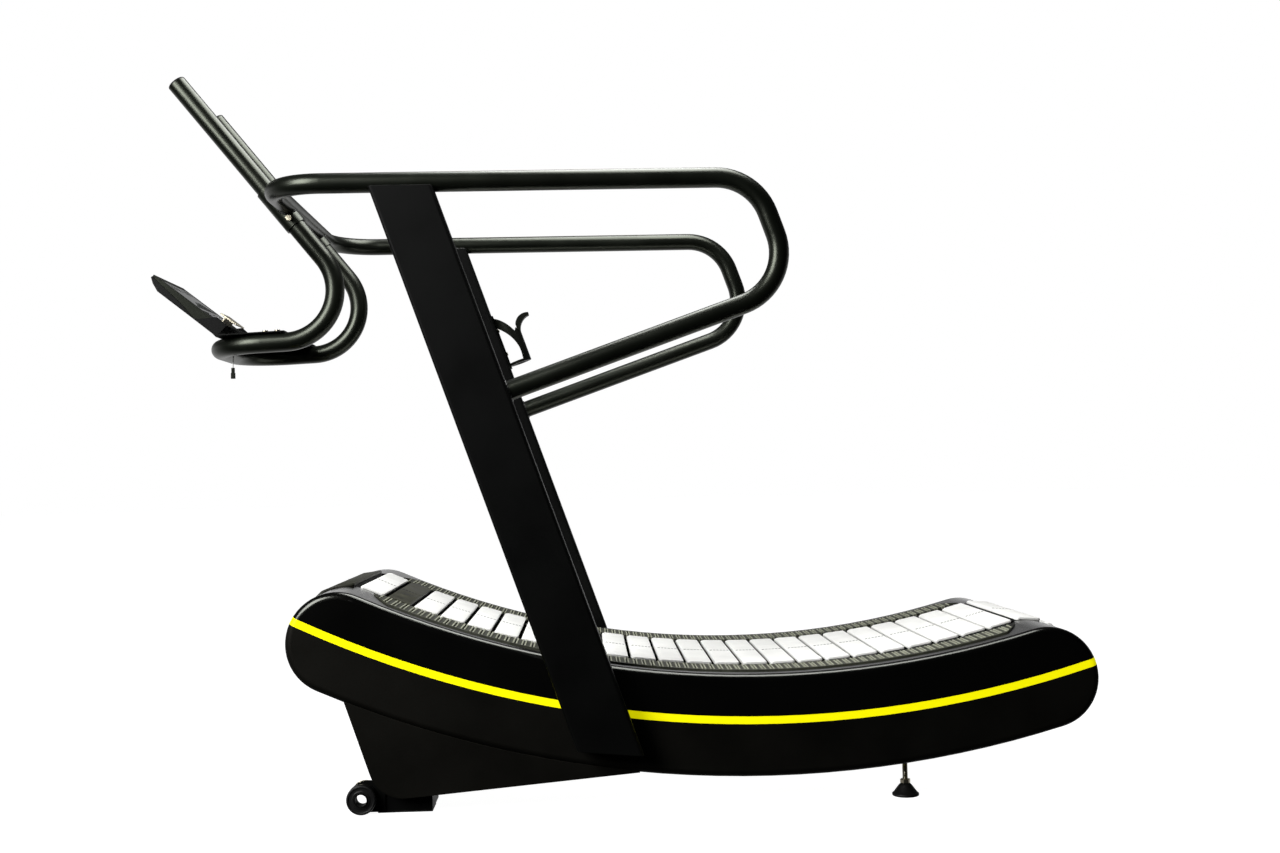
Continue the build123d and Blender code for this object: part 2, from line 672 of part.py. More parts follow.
def make_bottle_cage():
    """Moulded holder on the far upright's rear face: back plate, cup floor, wrapping arms, flared strut."""
    centre = CAGE_R + 1
    front = centre + CAGE_R + 1
    wall = Pos(centre, 0, 70) * (Cylinder(CAGE_R, 140) - Cylinder(CAGE_R - CAGE_WALL, 141))
    arm = make_face([
        Line((0, 136), (0, 111)),
        ThreePointArc((0, 111), (30, 77), (41, 12)),
        Line((41, 12), (41, 0)),
        Line((41, 0), (front, 0)),
        Line((front, 0), (front, 80)),
        Line((front, 80), (50, 92)),
        Line((50, 92), (45, 84)),
        ThreePointArc((45, 84), (26, 114), (0, 136)),
    ])
    arms = wall & side_view(arm, -60, 60)
    floor = Pos(centre, 0, 3.5) * Cylinder(CAGE_R, 7)
    floor -= Pos(centre, 0, 3.5) * Cylinder(14, 8)
    back = block((0, 4), (-14, 14), (-6, 142))
    lip = make_face([
        ThreePointArc((59.5, 74), (68, 98), (94.5, 112)),
        Line((94.5, 112), (95.5, 119)),
        ThreePointArc((95.5, 119), (68, 118), (52, 99)),
        Line((52, 99), (52, 74)),
        Line((52, 74), (59.5, 74)),
    ])
    hollow = Pos(centre, 0, 70) * Cylinder(CAGE_R - CAGE_WALL, 80)
    cage = arms + floor + back + (side_view(lip, -14, 14) - hollow)
    cage = cage_frame() * cage
    for hole in cage_rods(2.7, -1, 6):
        cage -= hole
    return [cage]


def make_cage_screws():
    """Pan head screws that fix the bottle cage to the far upright."""
    shanks = cage_rods(2.4, -8, 4)
    heads = cage_rods(4.6, 4, 6.8)
    return [shank + head for shank, head in zip(shanks, heads)]


# ---- covers --------------------------------------------------------------------------------------
def strip_plan(grow=0.0):
    """Plan outline (X, Y) of the foot rest strip on the near side; its ends sweep in to the belt."""
    front_in, front_out = -698 - grow, -640 - grow
    rear_in, rear_out = 720 + grow, 660 + grow
    inner, outer = -COVER_INNER_Y + 2 * grow, -LIP_Y - grow
    sweep_x, sweep_y = 28, (inner + outer) / 2 - 14
    outline = [
        Line((front_in, inner), (rear_in, inner)),
        ThreePointArc((rear_in, inner), (rear_in - sweep_x, sweep_y), (rear_out, outer)),
        Line((rear_out, outer), (front_out, outer)),
        ThreePointArc((front_out, outer), (front_in + sweep_x, sweep_y), (front_in, inner)),
    ]
    return make_face(outline)


def cover_outside(grow=0.0):
    """Solid inside the near cover's outer faces, grown by an amount."""
    outer = side_view(bent_slot(COVER_HALF + grow), -COVER_OUTER_Y, -COVER_INNER_Y)
    return fillet(outer.faces().sort_by(Axis.Y)[0].edges(), COVER_EDGE)


def make_cover_shell():
    """Whole near cover before it is parted along the stripe."""
    outer = cover_outside()
    inner = side_view(bent_slot(COVER_HALF - COVER_WALL), -COVER_OUTER_Y + COVER_WALL, -COVER_INNER_Y + 1)
    inner = fillet(inner.faces().sort_by(Axis.Y)[0].edges(), COVER_EDGE - COVER_WALL)
    shell = outer - inner
    shell -= Pos(0, 0, 250) * extrude(strip_plan(0.3), amount=400)
    shell -= block((-CAP_X, CAP_X), (-FLANGE_Y, -COVER_INNER_Y + 1), (0, 250)) \
        & side_view(arc_band(ARC_R, ARC_R + 150, -CAP_X, CAP_X), -COVER_OUTER_Y, 0)
    stub = Pos(upright_x(OUTRIGGER_Z), OUTRIGGER_Z) * Rot(0, 0, LEAN) * Rectangle(82, 112)
    return shell - side_view(stub, -400, -370)


def stripe_disc(radius):
    """Solid disc about the stripe's arc centre, across the near cover."""
    return disc(STRIPE_X, STRIPE_Z, radius, -COVER_OUTER_Y - 1, -COVER_INNER_Y + 1)


def make_covers():
    """Upper cover, stripe and lower cover of one side, parted along the stripe's two edges."""
    shell = make_cover_shell()
    high, low = STRIPE_R - STRIPE_W / 2, STRIPE_R + STRIPE_W / 2
    upper = shell & stripe_disc(high)
    stripe = (shell & stripe_disc(low)) - stripe_disc(high)
    lower = shell - stripe_disc(low)
    return upper, stripe, lower


def make_foot_rest_strips():
    """Ribbed strips beside the belt, on top of the foot rest rails."""
    band = side_view(arc_band(STRIP_TOP_R, RAIL_TOP_R - GAP, -700, 770), -LIP_Y, -COVER_INNER_Y)
    plan = Pos(0, 0, 200) * extrude(strip_plan(-0.2), amount=500)
    return both_sides(band & plan)


# ---- base ----------------------------------------------------------------------------------------
def skirt_face():
    """Side outline of the base skirt: leaning front edge, rounded toe, lower edge rising to the bed."""
    front_top, rear_tip = SKIRT_FRONT_TOP, SKIRT_REAR_TIP
    lower = FilletPolyline(front_top, SKIRT_TOE, rear_tip, radius=SKIRT_TOE_R)
    closing = Polyline(rear_tip, (rear_tip[0], SKIRT_CLOSING_Z), (front_top[0], SKIRT_CLOSING_Z), front_top)
    return make_face([*lower.edges(), *closing.edges()])


def make_skirts():
    """Textured side panels that meet the rounded lower edge of the covers at the front."""
    skirt = side_view(skirt_face(), -SKIRT_Y[1], -SKIRT_Y[0]) - cover_outside(GAP)
    biggest = sorted(skirt.solids(), key=lambda solid: solid.volume)[-1]
    return both_sides(biggest)


def make_front_panel():
    """Leaning panel that closes the base between the skirts."""
    outline = Polyline(*FRONT_PANEL, close=True)
    return [side_view(make_face(outline), -SKIRT_Y[0] + 0.5, SKIRT_Y[0] - 0.5)]


def make_front_legs():
    """Rectangular tubes from the side beams down to the front feet."""
    leg = block(LEG_X, LEG_Y, (FOOT_Z[1], LEG_TOP))
    inside_x = (LEG_X[0] + LEG_WALL, LEG_X[1] - LEG_WALL)
    inside_y = (LEG_Y[0] + LEG_WALL, LEG_Y[1] - LEG_WALL)
    leg -= block(inside_x, inside_y, (FOOT_Z[1] - 1, LEG_TOP - LEG_WALL))
    return both_sides(leg)


def make_front_foot_beam():
    """Cross tube that ties the two front legs together above the feet."""
    (x_low, x_high), (z_low, z_high), wall = FOOT_BEAM_X, FOOT_BEAM_Z, FOOT_BEAM_WALL
    beam = block(FOOT_BEAM_X, (-WEB_Y[1], WEB_Y[1]), FOOT_BEAM_Z)
    inside_x = (x_low + wall, x_high - wall)
    inside_z = (z_low + wall, z_high - wall)
    hollow = block(inside_x, (-WEB_Y[1] - 1, WEB_Y[1] + 1), inside_z)
    return [beam - hollow]


def make_front_feet():
    """Short flat rectangular tubes that carry the front legs out to the skirts, closed at both ends."""
    (front, rear), (inner, outer), (low, high) = FOOT_X, FOOT_Y, FOOT_Z
    foot = block(FOOT_X, (-outer, -inner), FOOT_Z)
    foot -= block((front + FOOT_WALL, rear - FOOT_WALL), (-outer + FOOT_WALL, -inner - FOOT_WALL),
                  (low + FOOT_WALL, high - FOOT_WALL))
    return both_sides(foot)


def make_foot_pads():
    """Rubber pads under the outer ends of the front feet."""
    return both_sides(block(FOOT_X, (-FOOT_Y[1], -FOOT_Y[1] + 70), (0, FOOT_Z[0])))


def make_wheel_brackets():
    """Rounded lugs on the feet's outer ends, each with a hollow axle for its wheel."""
    low, outer = FOOT_Z[0], FOOT_Y[1]
    lug = make_face(Polyline((-700, 69), (-660, 69), (-660, low), (-700, low), close=True))
    lug += Pos(-700, 36) * Circle(33)
    lug -= Pos(WHEEL_X, WHEEL_Z) * Circle(AXLE_BORE_R)
    bracket = side_view(lug, -outer - 4, -outer)
    bracket -= block((-800, -500), (-400, 0), (-20, low))
    axle = Pos(WHEEL_X, WHEEL_Z) * (Circle(AXLE_R) - Circle(AXLE_BORE_R))
    bracket += side_view(axle, -375.5, -outer)
    return both_sides(bracket)


def make_wheel():
    """Solid transport wheel with a rounded tread."""
    wheel = side_view(Pos(WHEEL_X, WHEEL_Z) * Circle(WHEEL_R), -374, -350)
    edges = wheel.edges().filter_by(GeomType.CIRCLE)
    wheel = fillet(edges, 3)
    return wheel - disc(WHEEL_X, WHEEL_Z, AXLE_R + BORE_CLEARANCE, -400, -300)


def make_level_brackets():
    """Stub tubes on the side beams with threaded bosses for the levelling feet."""
    x = LEVEL_X
    stub = block((x - 25, x + 25), (-352, -WEB_Y[1]), (112, 142))
    stub -= block((x - 22, x + 22), (-353, -WEB_Y[1] + 1), (115, 139))
    stub += Pos(x, -LEVEL_Y, 105) * extrude(RegularPolygon(12, 6), amount=7)
    stub -= Pos(x, -LEVEL_Y, 120) * Cylinder(LEVEL_STEM_R + BORE_CLEARANCE, 80)
    return both_sides(stub)


def make_level_stem():
    """Threaded stem with its hexagon, above the pad."""
    stem = Pos(LEVEL_X, -LEVEL_Y, 26 + 65) * Cylinder(LEVEL_STEM_R, 130)
    nut = Pos(LEVEL_X, -LEVEL_Y, 26) * extrude(RegularPolygon(11, 6), amount=9)
    return stem + nut


def make_level_pad():
    """Conical rubber-faced foot."""
    outline = Polyline((0, 0), (28.5, 0), (28.5, 5), (14, 22), (10, 26), (0, 26), close=True)
    return Pos(LEVEL_X, -LEVEL_Y, 0) * revolve(Plane.XZ * make_face(outline), axis=Axis.Z)


# ---- speed sensor --------------------------------------------------------------------------------
def make_speed_sensor():
    """Reed sensor on the near side beam, facing the front pulley."""
    x, z = FRONT[0] + 62, FRONT[1]
    return [block((x - 6, x + 6), (-218, -214.2), (z - 12, z + 12))]


def make_sensor_magnet():
    """Magnet on the front pulley's outer face."""
    return [disc(FRONT[0] + 86 - 0.5, FRONT[1], 3.4, -212.5, -210)]


# ---- writing -------------------------------------------------------------------------------------
def as_list(shape):
    return list(shape) if isinstance(shape, (list, tuple, ShapeList)) else [shape]


def all_parts():
    """Every node's name with its solids, in the bed frame."""
    upper, stripe, lower = make_covers()
    left_upright, right_upright = both_sides(make_upright())
    for hole in cage_rods(2.7, -10, 1):
        right_upright -= hole
    left_rail, right_rail = both_sides(make_handrail())
    left_handle, right_handle = both_sides(make_push_handle())
    left_wheel, right_wheel = both_sides(make_wheel())
    left_stem, right_stem = both_sides(make_level_stem())
    left_pad, right_pad = both_sides(make_level_pad())
    parts = {
        "side_beams": make_side_beams(),
        "bed_cross_tubes": make_cross_tubes(),
        "foot_rest_rails": make_foot_rest_rails(),
        "front_legs": make_front_legs(),
        "front_foot_beam": make_front_foot_beam(),
        "front_feet": make_front_feet(),
        "front_foot_pads": make_foot_pads(),
        "upright_left": left_upright,
        "upright_right": right_upright,
        "upright_outriggers": make_outriggers(),
        "upright_bolts": make_upright_bolts(),
        "upright_foot_plugs": make_upright_caps(),
        "handrail_left": left_rail,
        "handrail_right": right_rail,
        "front_cross_tube": make_front_cross_tube(),
        "handle_sleeves": make_sleeves(),
        "handle_set_screws": make_set_screws(),
        "push_handle_left": left_handle,
        "push_handle_right": right_handle,
        "handle_end_caps": make_handle_caps(),
        "console_bracket": make_console_bracket(),
        "bracket_screws": make_bracket_screws(),
        "console_cradle": make_console_cradle(),
        "console_housing": make_console_housing(),
        "console_screen": make_console_screen(),
        "console_board": make_console_board(),
        "device_ledge": make_device_ledge(),
        "sensor_lead": make_sensor_lead(),
        "sensor_lead_grommet": make_lead_grommet(),
        "sensor_lead_connector": make_lead_connector(),
        "bottle_cage": make_bottle_cage(),
        "bottle_cage_screws": make_cage_screws(),
        "side_covers_upper": both_sides(upper),
        "side_covers_lower": both_sides(lower),
        "accent_stripes": both_sides(stripe),
        "foot_rest_strips": make_foot_rest_strips(),
        "base_skirts": make_skirts(),
        "base_front_panel": make_front_panel(),
        "running_slats": make_slats(),
        "drive_belts": make_drive_belts(),
        "front_drum_shaft": make_shaft(FRONT),
        "front_pulleys": make_pulleys(FRONT),
        "rear_drum_shaft": make_shaft(REAR),
        "rear_pulleys": make_pulleys(REAR),
        "shaft_bearings": make_shaft_bearings(),
        "support_bearings": make_support_bearings(),
        "support_bolts": make_support_bolts(),
        "wheel_brackets": make_wheel_brackets(),
        "transport_wheel_left": left_wheel,
        "transport_wheel_right": right_wheel,
        "level_brackets": make_level_brackets(),
        "level_stem_left": left_stem,
        "level_stem_right": right_stem,
        "level_pad_left": left_pad,
        "level_pad_right": right_pad,
        "speed_sensor": make_speed_sensor(),
        "sensor_magnet": make_sensor_magnet(),
    }
    for number, y in enumerate(BUTTON_SPOTS, start=1):
        parts[f"console_button_{number}"] = make_console_button(y)
    return parts


def write_parts():
    """Write one STEP file per node, moved to the machine's own origin."""
    os.makedirs("parts", exist_ok=True)
    for name, shapes in all_parts().items():
        solids = [solid for shape in as_list(shapes) for solid in shape.solids()]
        placed = Pos(ORIGIN_SHIFT_X, 0, 0) * Compound(children=solids)
        export_step(placed, f"parts/{name}.step")


write_parts()
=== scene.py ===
import json
from math import asin, ceil, cos, hypot, pi, radians, sin, sqrt

import bmesh
import bpy
from mathutils import Matrix, Vector


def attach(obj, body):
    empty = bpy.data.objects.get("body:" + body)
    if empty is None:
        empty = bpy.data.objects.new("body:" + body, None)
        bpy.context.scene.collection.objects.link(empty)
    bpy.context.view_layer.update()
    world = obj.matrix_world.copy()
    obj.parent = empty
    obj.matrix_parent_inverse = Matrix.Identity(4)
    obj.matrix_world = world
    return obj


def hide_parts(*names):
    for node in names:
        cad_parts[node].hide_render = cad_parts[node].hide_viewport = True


# Looks of a curved manual treadmill, in metres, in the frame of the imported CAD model: +X to the rear of
# the bed, +Y to the runner's right, +Z up, floor at Z = 0.

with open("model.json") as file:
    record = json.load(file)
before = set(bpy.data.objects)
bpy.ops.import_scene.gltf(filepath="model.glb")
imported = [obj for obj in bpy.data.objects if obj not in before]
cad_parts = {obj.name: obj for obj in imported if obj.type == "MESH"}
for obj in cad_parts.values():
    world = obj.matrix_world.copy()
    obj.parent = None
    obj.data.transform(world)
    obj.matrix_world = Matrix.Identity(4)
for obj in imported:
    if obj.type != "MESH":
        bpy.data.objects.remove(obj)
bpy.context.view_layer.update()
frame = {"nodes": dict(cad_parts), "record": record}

# ---- driving dimensions, as in the CAD model ---------------------------------------------------------
SHIFT = 0.171                                   # from the middle of the bed to the middle of the machine
ARC_X, ARC_Z = 0.150 + SHIFT, 2.362             # centre of the bed's arc
STRIP_TOP_R, STRIP_BASE_R = 2.086, 2.0957
STRIP_IN, STRIP_OUT, RIB_OUT = 0.2177, 0.3478, 0.3225
STRIP_BULGE = 0.014                             # how far a swept end's middle lies outside the strip's
STRIP_ENDS = (((-0.698, -0.670, -0.640), -1), ((0.720, 0.692, 0.660), 1))    # bed X inside, midway, outside
STRIP_SPAN = (-0.697 + SHIFT, 0.719 + SHIFT)
RIM_SPAN, RIM_WIDE = (-0.690 + SHIFT, 0.712 + SHIFT), 0.0026
TILE_PITCH, TILE_HALF, TILE_EDGE_HALF = 0.0183, 0.0058, 0.0016
TILE_START, TILE_RUN = -0.668 + SHIFT, 1.37
TILE_TOP_R, TILE_EDGE_TOP_R, TILE_BASE_R = STRIP_TOP_R + 0.0013, STRIP_TOP_R + 0.0003, STRIP_TOP_R + 0.0066
SLAT_HALF_WIDTH, SLAT_THICK, SLAT_HALF_LENGTH = 0.0285, 0.0137, 0.215
BAR_THICK = 0.0064                              # dark inner part of a slat
# Treads in front of the second X, round the front nose, take a dark copy of the tread as painted shade.
DARK_SLAT_X, SHADED_FROM_X = -0.672 + SHIFT, -0.742 + SHIFT
DASH_COUNT, DASH_PITCH, DASH_START = 6, 0.0078, 0.0105
DASH_HALF_LENGTH, DASH_HALF_WIDTH, DASH_BASE = 0.0027, 0.0034, 0.0127
TUBE_R, RAIL_Z = 0.0212, 1.315
LEAN = radians(19.2)
UPRIGHT_Y, UPRIGHT_TOP_X, UPRIGHT_TOP_Z, UPRIGHT_HALF_DEPTH = 0.415, -0.5968 + SHIFT, 1.303, 0.0625
HANDLE_Y, CROSS_TUBE_X, SLEEVE_R = 0.170, -0.880 + SHIFT, 0.0246
HANDLE_TOP, HANDLE_ELBOW = (-1.123 + SHIFT, 1.595), (-0.6625 + SHIFT, 1.0208)
STRUT_SLOPE, STRUT_POINT = 0.3482, (-0.330 + SHIFT, 0.8986 + 0.3482 * (-0.330 + 0.3168))
WHEEL_X, WHEEL_Y, WHEEL_Z, WHEEL_R = -0.707 + SHIFT, 0.362, 0.033, 0.031
LUG_X, LUG_Z = -0.700 + SHIFT, 0.036
LEVEL_X, LEVEL_Y = 0.4415 + SHIFT, 0.330
PANEL_TIP, PANEL_ANGLE = (-1.196 + SHIFT, 1.175), radians(38.2)
SCREEN_DOWN, BUTTON_DOWN = (0.020, 0.130), 0.146


# ---- camera, floor and light -------------------------------------------------------------------------
def make_camera():
    """Camera low beside the machine, a little in front of its middle."""
    yaw, pitch, roll = 0.0368728, 0.0341291, -0.0226114
    forward = Vector((sin(yaw) * cos(pitch), cos(yaw) * cos(pitch), sin(pitch)))
    level = Vector((cos(yaw), -sin(yaw), 0))
    right = level * cos(roll) + level.cross(forward) * sin(roll)
    up = right.cross(forward)
    data = bpy.data.cameras.new("camera")
    data.lens, data.sensor_width, data.clip_end = 40.5, 36.0, 200.0
    camera = bpy.data.objects.new("camera", data)
    bpy.context.scene.collection.objects.link(camera)
    place = Matrix((right, up, -forward)).transposed().to_4x4()
    place.translation = Vector((-0.2215 + SHIFT, -3.4071, 0.6939))
    camera.matrix_world = place
    bpy.context.scene.camera = camera


def make_floor():
    """Pale floor, wide enough to run out of sight."""
    bm = bmesh.new()
    bmesh.ops.create_circle(bm, cap_ends=True, radius=40, segments=96)
    mesh = bpy.data.meshes.new("floor")
    bm.to_mesh(mesh)
    bm.free()
    floor = bpy.data.objects.new("floor", mesh)
    bpy.context.scene.collection.objects.link(floor)
    material = bpy.data.materials.new("studio_floor")
    material.use_nodes = True
    base = material.node_tree.nodes["Principled BSDF"]
    base.inputs["Base Color"].default_value = (0.3, 0.3, 0.3, 1)
    base.inputs["Roughness"].default_value = 0.9
    base.inputs["Specular IOR Level"].default_value = 0.1
    base.inputs["Emission Color"].default_value = (1, 1, 1, 1)
    base.inputs["Emission Strength"].default_value = 0.985
    mesh.materials.append(material)
    floor.visible_diffuse = floor.visible_glossy = False


def add_softbox(name, place, target, size, power):
    """Rectangular soft light aimed at a point."""
    data = bpy.data.lights.new(name, "AREA")
    data.shape, data.size, data.size_y, data.energy = "RECTANGLE", *size, power
    light = bpy.data.objects.new(name, data)
    bpy.context.scene.collection.objects.link(light)
    light.location = place
    light.rotation_euler = (Vector(target) - Vector(place)).to_track_quat("-Z", "Y").to_euler()


def make_world():
    """White surroundings for the eye, but only a low band behind the machine gives bright light."""
    world = bpy.data.worlds.new("studio")
    world.use_nodes = True
    bpy.context.scene.world = world
    tree = world.node_tree
    background = tree.nodes["Background"]
    background.inputs["Color"].default_value = (1, 1, 1, 1)
    coords = tree.nodes.new("ShaderNodeTexCoord")
    split = tree.nodes.new("ShaderNodeSeparateXYZ")
    tree.links.new(coords.outputs["Generated"], split.inputs[0])
    behind = mapped(tree, split.outputs["Y"], 0.012, 0.8, 0.0, 0.85)
    low = mapped(tree, split.outputs["Z"], 1.0, 0.1, 0.08, 0.3)
    band = add_node(tree, "ShaderNodeMath", operation="MULTIPLY")
    tree.links.new(behind, band.inputs[0])
    tree.links.new(low, band.inputs[1])
    path = tree.nodes.new("ShaderNodeLightPath")
    seen = tree.nodes.new("ShaderNodeMix")
    seen.inputs["B"].default_value = 1.0
    tree.links.new(band.outputs[0], seen.inputs["A"])
    tree.links.new(path.outputs["Is Camera Ray"], seen.inputs["Factor"])
    tree.links.new(seen.outputs[0], background.inputs["Strength"])


def light_the_set():
    make_world()
    add_softbox("key_front", (-2.5, -2.5, 2.3), (0.0, 0, 0.6), (1.8, 2.2), 175)
    add_softbox("overhead", (0.2, 0.1, 3.0), (0.0, 0, 0.4), (2.0, 1.2), 74)
    bpy.context.scene.view_settings.view_transform = "Standard"


# ---- materials ---------------------------------------------------------------------------------------
def add_node(tree, kind, values=(), **settings):
    """New node with its settings and the values of its unlinked inputs."""
    made = tree.nodes.new(kind)
    for key, value in settings.items():
        setattr(made, key, value)
    for key, value in dict(values).items():
        made.inputs[key].default_value = value
    return made


def noise(tree, coords, scale, detail=3.0):
    """Noise texture's Factor output."""
    texture = add_node(tree, "ShaderNodeTexNoise", {"Scale": scale, "Detail": detail})
    tree.links.new(coords, texture.inputs["Vector"])
    return texture.outputs["Fac"]


def mapped(tree, value, low, high, from_low=0.3, from_high=0.7):
    """Value brought from one range to another."""
    limits = {"From Min": from_low, "From Max": from_high, "To Min": low, "To Max": high}
    made = add_node(tree, "ShaderNodeMapRange", limits)
    tree.links.new(value, made.inputs["Value"])
    return made.outputs[0]


def mixed(tree, factor, a, b):
    """Colour mix; a and b are colours or sockets."""
    made = add_node(tree, "ShaderNodeMix", data_type="RGBA")
    tree.links.new(factor, made.inputs["Factor"])
    for socket, value in ((made.inputs[6], a), (made.inputs[7], b)):
        if isinstance(value, tuple):
            socket.default_value = (*value, 1)
        else:
            tree.links.new(value, socket)
    return made.outputs[2]


def edge_factor(tree, radius):
    """Nearly 1 on sharp edges and 0 on flat faces."""
    bevel = add_node(tree, "ShaderNodeBevel", {"Radius": radius}, samples=4)
    shape = add_node(tree, "ShaderNodeNewGeometry")
    dot = add_node(tree, "ShaderNodeVectorMath", operation="DOT_PRODUCT")
    tree.links.new(bevel.outputs[0], dot.inputs[0])
    tree.links.new(shape.outputs["Normal"], dot.inputs[1])
    return mapped(tree, dot.outputs["Value"], 1.0, 0.0, 0.8, 0.995), bevel.outputs[0]


def edge_highlight_paint(tree, place, paint, edge_glint, edge_glint_colour):
    """Painted highlight along sharp edges, in noisy patches, and the softened normal that goes with them."""
    edge, soft = edge_factor(tree, 0.0016)
    glint_patches = mapped(tree, noise(tree, place, 60.0, 4.0), 0.25, 1.0)
    glinting = add_node(tree, "ShaderNodeMath", operation="MULTIPLY")
    tree.links.new(edge, glinting.inputs[0])
    tree.links.new(glint_patches, glinting.inputs[1])
    return mixed(tree, mapped(tree, glinting.outputs[0], 0, edge_glint, 0, 1), paint, edge_glint_colour), soft


def finish(name, colour, rough, spread=0.25, clouds=7.0, grain=900.0, depth=0.0001, edge_glint=0.0,
           edge_glint_colour=(0.2, 0.2, 0.2), specular=0.5, metal=0.0, coat=0.0, stretch=(1, 1, 1), by_island=0.0,
           painted_glow=None, tint=(1, 1, 1)):
    """Procedural surface: cloudy colour variation, fine grain, uneven gloss, optional emission painted in as
    brightness, and sharp edges painted lighter as a highlight.
    """
    material = bpy.data.materials.new(name)
    material.use_nodes = True
    tree = material.node_tree
    surface = tree.nodes["Principled BSDF"]
    for socket, value in (("Specular IOR Level", specular), ("Metallic", metal), ("Coat Weight", coat),
                          ("Coat Roughness", 0.12)):
        surface.inputs[socket].default_value = value
    surface.inputs["Specular Tint"].default_value = (*tint, 1)
    # The surface emits light of its own as painted brightness; it is no lamp.
    if painted_glow:
        surface.inputs["Emission Color"].default_value = (*painted_glow[:3], 1)
        surface.inputs["Emission Strength"].default_value = painted_glow[3]
    place = add_node(tree, "ShaderNodeTexCoord").outputs["Object"]
    scaled = add_node(tree, "ShaderNodeMapping", {"Scale": stretch})
    tree.links.new(place, scaled.inputs["Vector"])
    cloud = noise(tree, scaled.outputs[0], clouds, 5.0)
    fine = noise(tree, scaled.outputs[0], grain, 2.0)
    dark = tuple(c * (1 - spread) for c in colour)
    light = tuple(min(1.0, c * (1 + spread)) for c in colour)
    paint = mixed(tree, mapped(tree, cloud, 0, 1), dark, light)
    paint = mixed(tree, mapped(tree, fine, 0, 0.35), paint, tuple(c * (1 - spread) for c in dark))
    if by_island:
        shape = add_node(tree, "ShaderNodeNewGeometry")
        share = mapped(tree, shape.outputs["Random Per Island"], 0, by_island, 0, 1)
        paint = mixed(tree, share, paint, tuple(c * 0.6 for c in colour))
    bump = add_node(tree, "ShaderNodeBump", {"Distance": depth, "Strength": 0.6})
    # Sharp edges are painted lighter, in noisy patches, as a highlight.
    if edge_glint:
        paint, soft = edge_highlight_paint(tree, place, paint, edge_glint, edge_glint_colour)
        tree.links.new(soft, bump.inputs["Normal"])
    tree.links.new(paint, surface.inputs["Base Color"])
    tree.links.new(mapped(tree, cloud, rough * 0.85, min(1, rough * 1.15)), surface.inputs["Roughness"])
    tree.links.new(fine, bump.inputs["Height"])
    tree.links.new(bump.outputs[0], surface.inputs["Normal"])
    return material


def frame_and_cover_materials():
    """Coated tube and sheet, side covers and their stripe."""
    return {
        # Lighter sharp edges in these materials are a painted highlight.
        "frame_black": finish("powder_coat_black", (0.0011, 0.0013, 0.0011), 0.52, grain=900, depth=0.00008,
                              edge_glint=0.5, edge_glint_colour=(0.035, 0.035, 0.03), specular=0.1),
        "tube_black": finish("satin_coat_black", (0.003, 0.0038, 0.0026), 0.31, grain=900, depth=0.000006,
                             specular=0.5, tint=(0.93, 1.0, 0.82)),
        "cover_gloss": finish("cover_gloss_black", (0.0012, 0.0012, 0.0012), 0.2, clouds=5, grain=500,
                              depth=0.00003, specular=0.5, tint=(0.97, 1.0, 0.9)),
        "cover_matt": finish("cover_grain_black", (0.0024, 0.0023, 0.0018), 0.55, grain=700, depth=0.0002,
                             edge_glint=0.3, edge_glint_colour=(0.03, 0.028, 0.02), specular=0.14,
                             tint=(1.0, 0.97, 0.85)),
        # The stripe emits light as painted brightness, so it reads brighter than its lighting makes it; it
        # is no lamp.
        "stripe_yellow": finish("stripe_yellow", (0.93, 0.86, 0.002), 0.4, spread=0.02, grain=700,
                                depth=0.00003, specular=0.15, painted_glow=(1.0, 0.95, 0.0, 0.55)),
    }


def belt_and_foot_materials():
    """Slats, foot rest strips, shafts, feet and wheels."""
    return {
        "slat_tread": finish("tread_pale", (0.9, 0.9, 0.87), 0.6, spread=0.06, clouds=20, grain=700,
                             depth=0.0002, by_island=0.16, specular=0.25),
        "tread_dark": finish("tread_dark", (0.034, 0.034, 0.02), 0.5, spread=0.85, clouds=26, grain=700,
                             depth=0.0003, specular=0.3),
        # Dark greenish copy of the pale tread: painted shade for the treads round the front nose.
        "tread_painted_shade": finish("tread_painted_shade", (0.02, 0.021, 0.012), 0.5, spread=0.5, clouds=16, grain=700,
                              depth=0.0003, specular=0.3),
        "belt_rubber": finish("belt_rubber", (0.006, 0.006, 0.006), 0.7, grain=600, depth=0.0003,
                              specular=0.2),
        # Pale copy of the tile rubber for the raised tile edges: a painted highlight against the darker tile
        # middles.
        "strip_rubber": finish("strip_rubber", (0.36, 0.37, 0.28), 0.5, spread=0.2, clouds=30, grain=700,
                               depth=0.0003, by_island=0.3, specular=0.4),
        "strip_tile": finish("strip_tile", (0.045, 0.047, 0.032), 0.55, spread=0.4, clouds=40, grain=700,
                             depth=0.0003, by_island=0.4, specular=0.35),
        "strip_floor": finish("strip_floor", (0.008, 0.008, 0.007), 0.7, grain=700, depth=0.0003,
                              specular=0.2),
        # From here on, lighter sharp edges in these materials are a painted highlight.
        "bare_steel": finish("turned_steel", (0.5, 0.5, 0.5), 0.28, spread=0.08, grain=300, depth=0.00008,
                             metal=1.0, stretch=(1, 9, 1), edge_glint=0.3, edge_glint_colour=(0.7, 0.7, 0.7)),
        "zinc_steel": finish("zinc_plate", (0.6, 0.55, 0.42), 0.34, spread=0.15, clouds=40, grain=700,
                             depth=0.00008, metal=1.0, edge_glint=0.4, edge_glint_colour=(0.75, 0.74, 0.7)),
        "foot_rubber": finish("foot_rubber", (0.006, 0.006, 0.0058), 0.6, grain=800, depth=0.0002,
                              specular=0.25,
                              edge_glint=0.3, edge_glint_colour=(0.03, 0.03, 0.028)),
        "wheel_rubber": finish("wheel_rubber", (0.004, 0.004, 0.004), 0.45, grain=700, depth=0.00015,
                               edge_glint=0.4,
                               edge_glint_colour=(0.035, 0.035, 0.03), specular=0.4),
    }


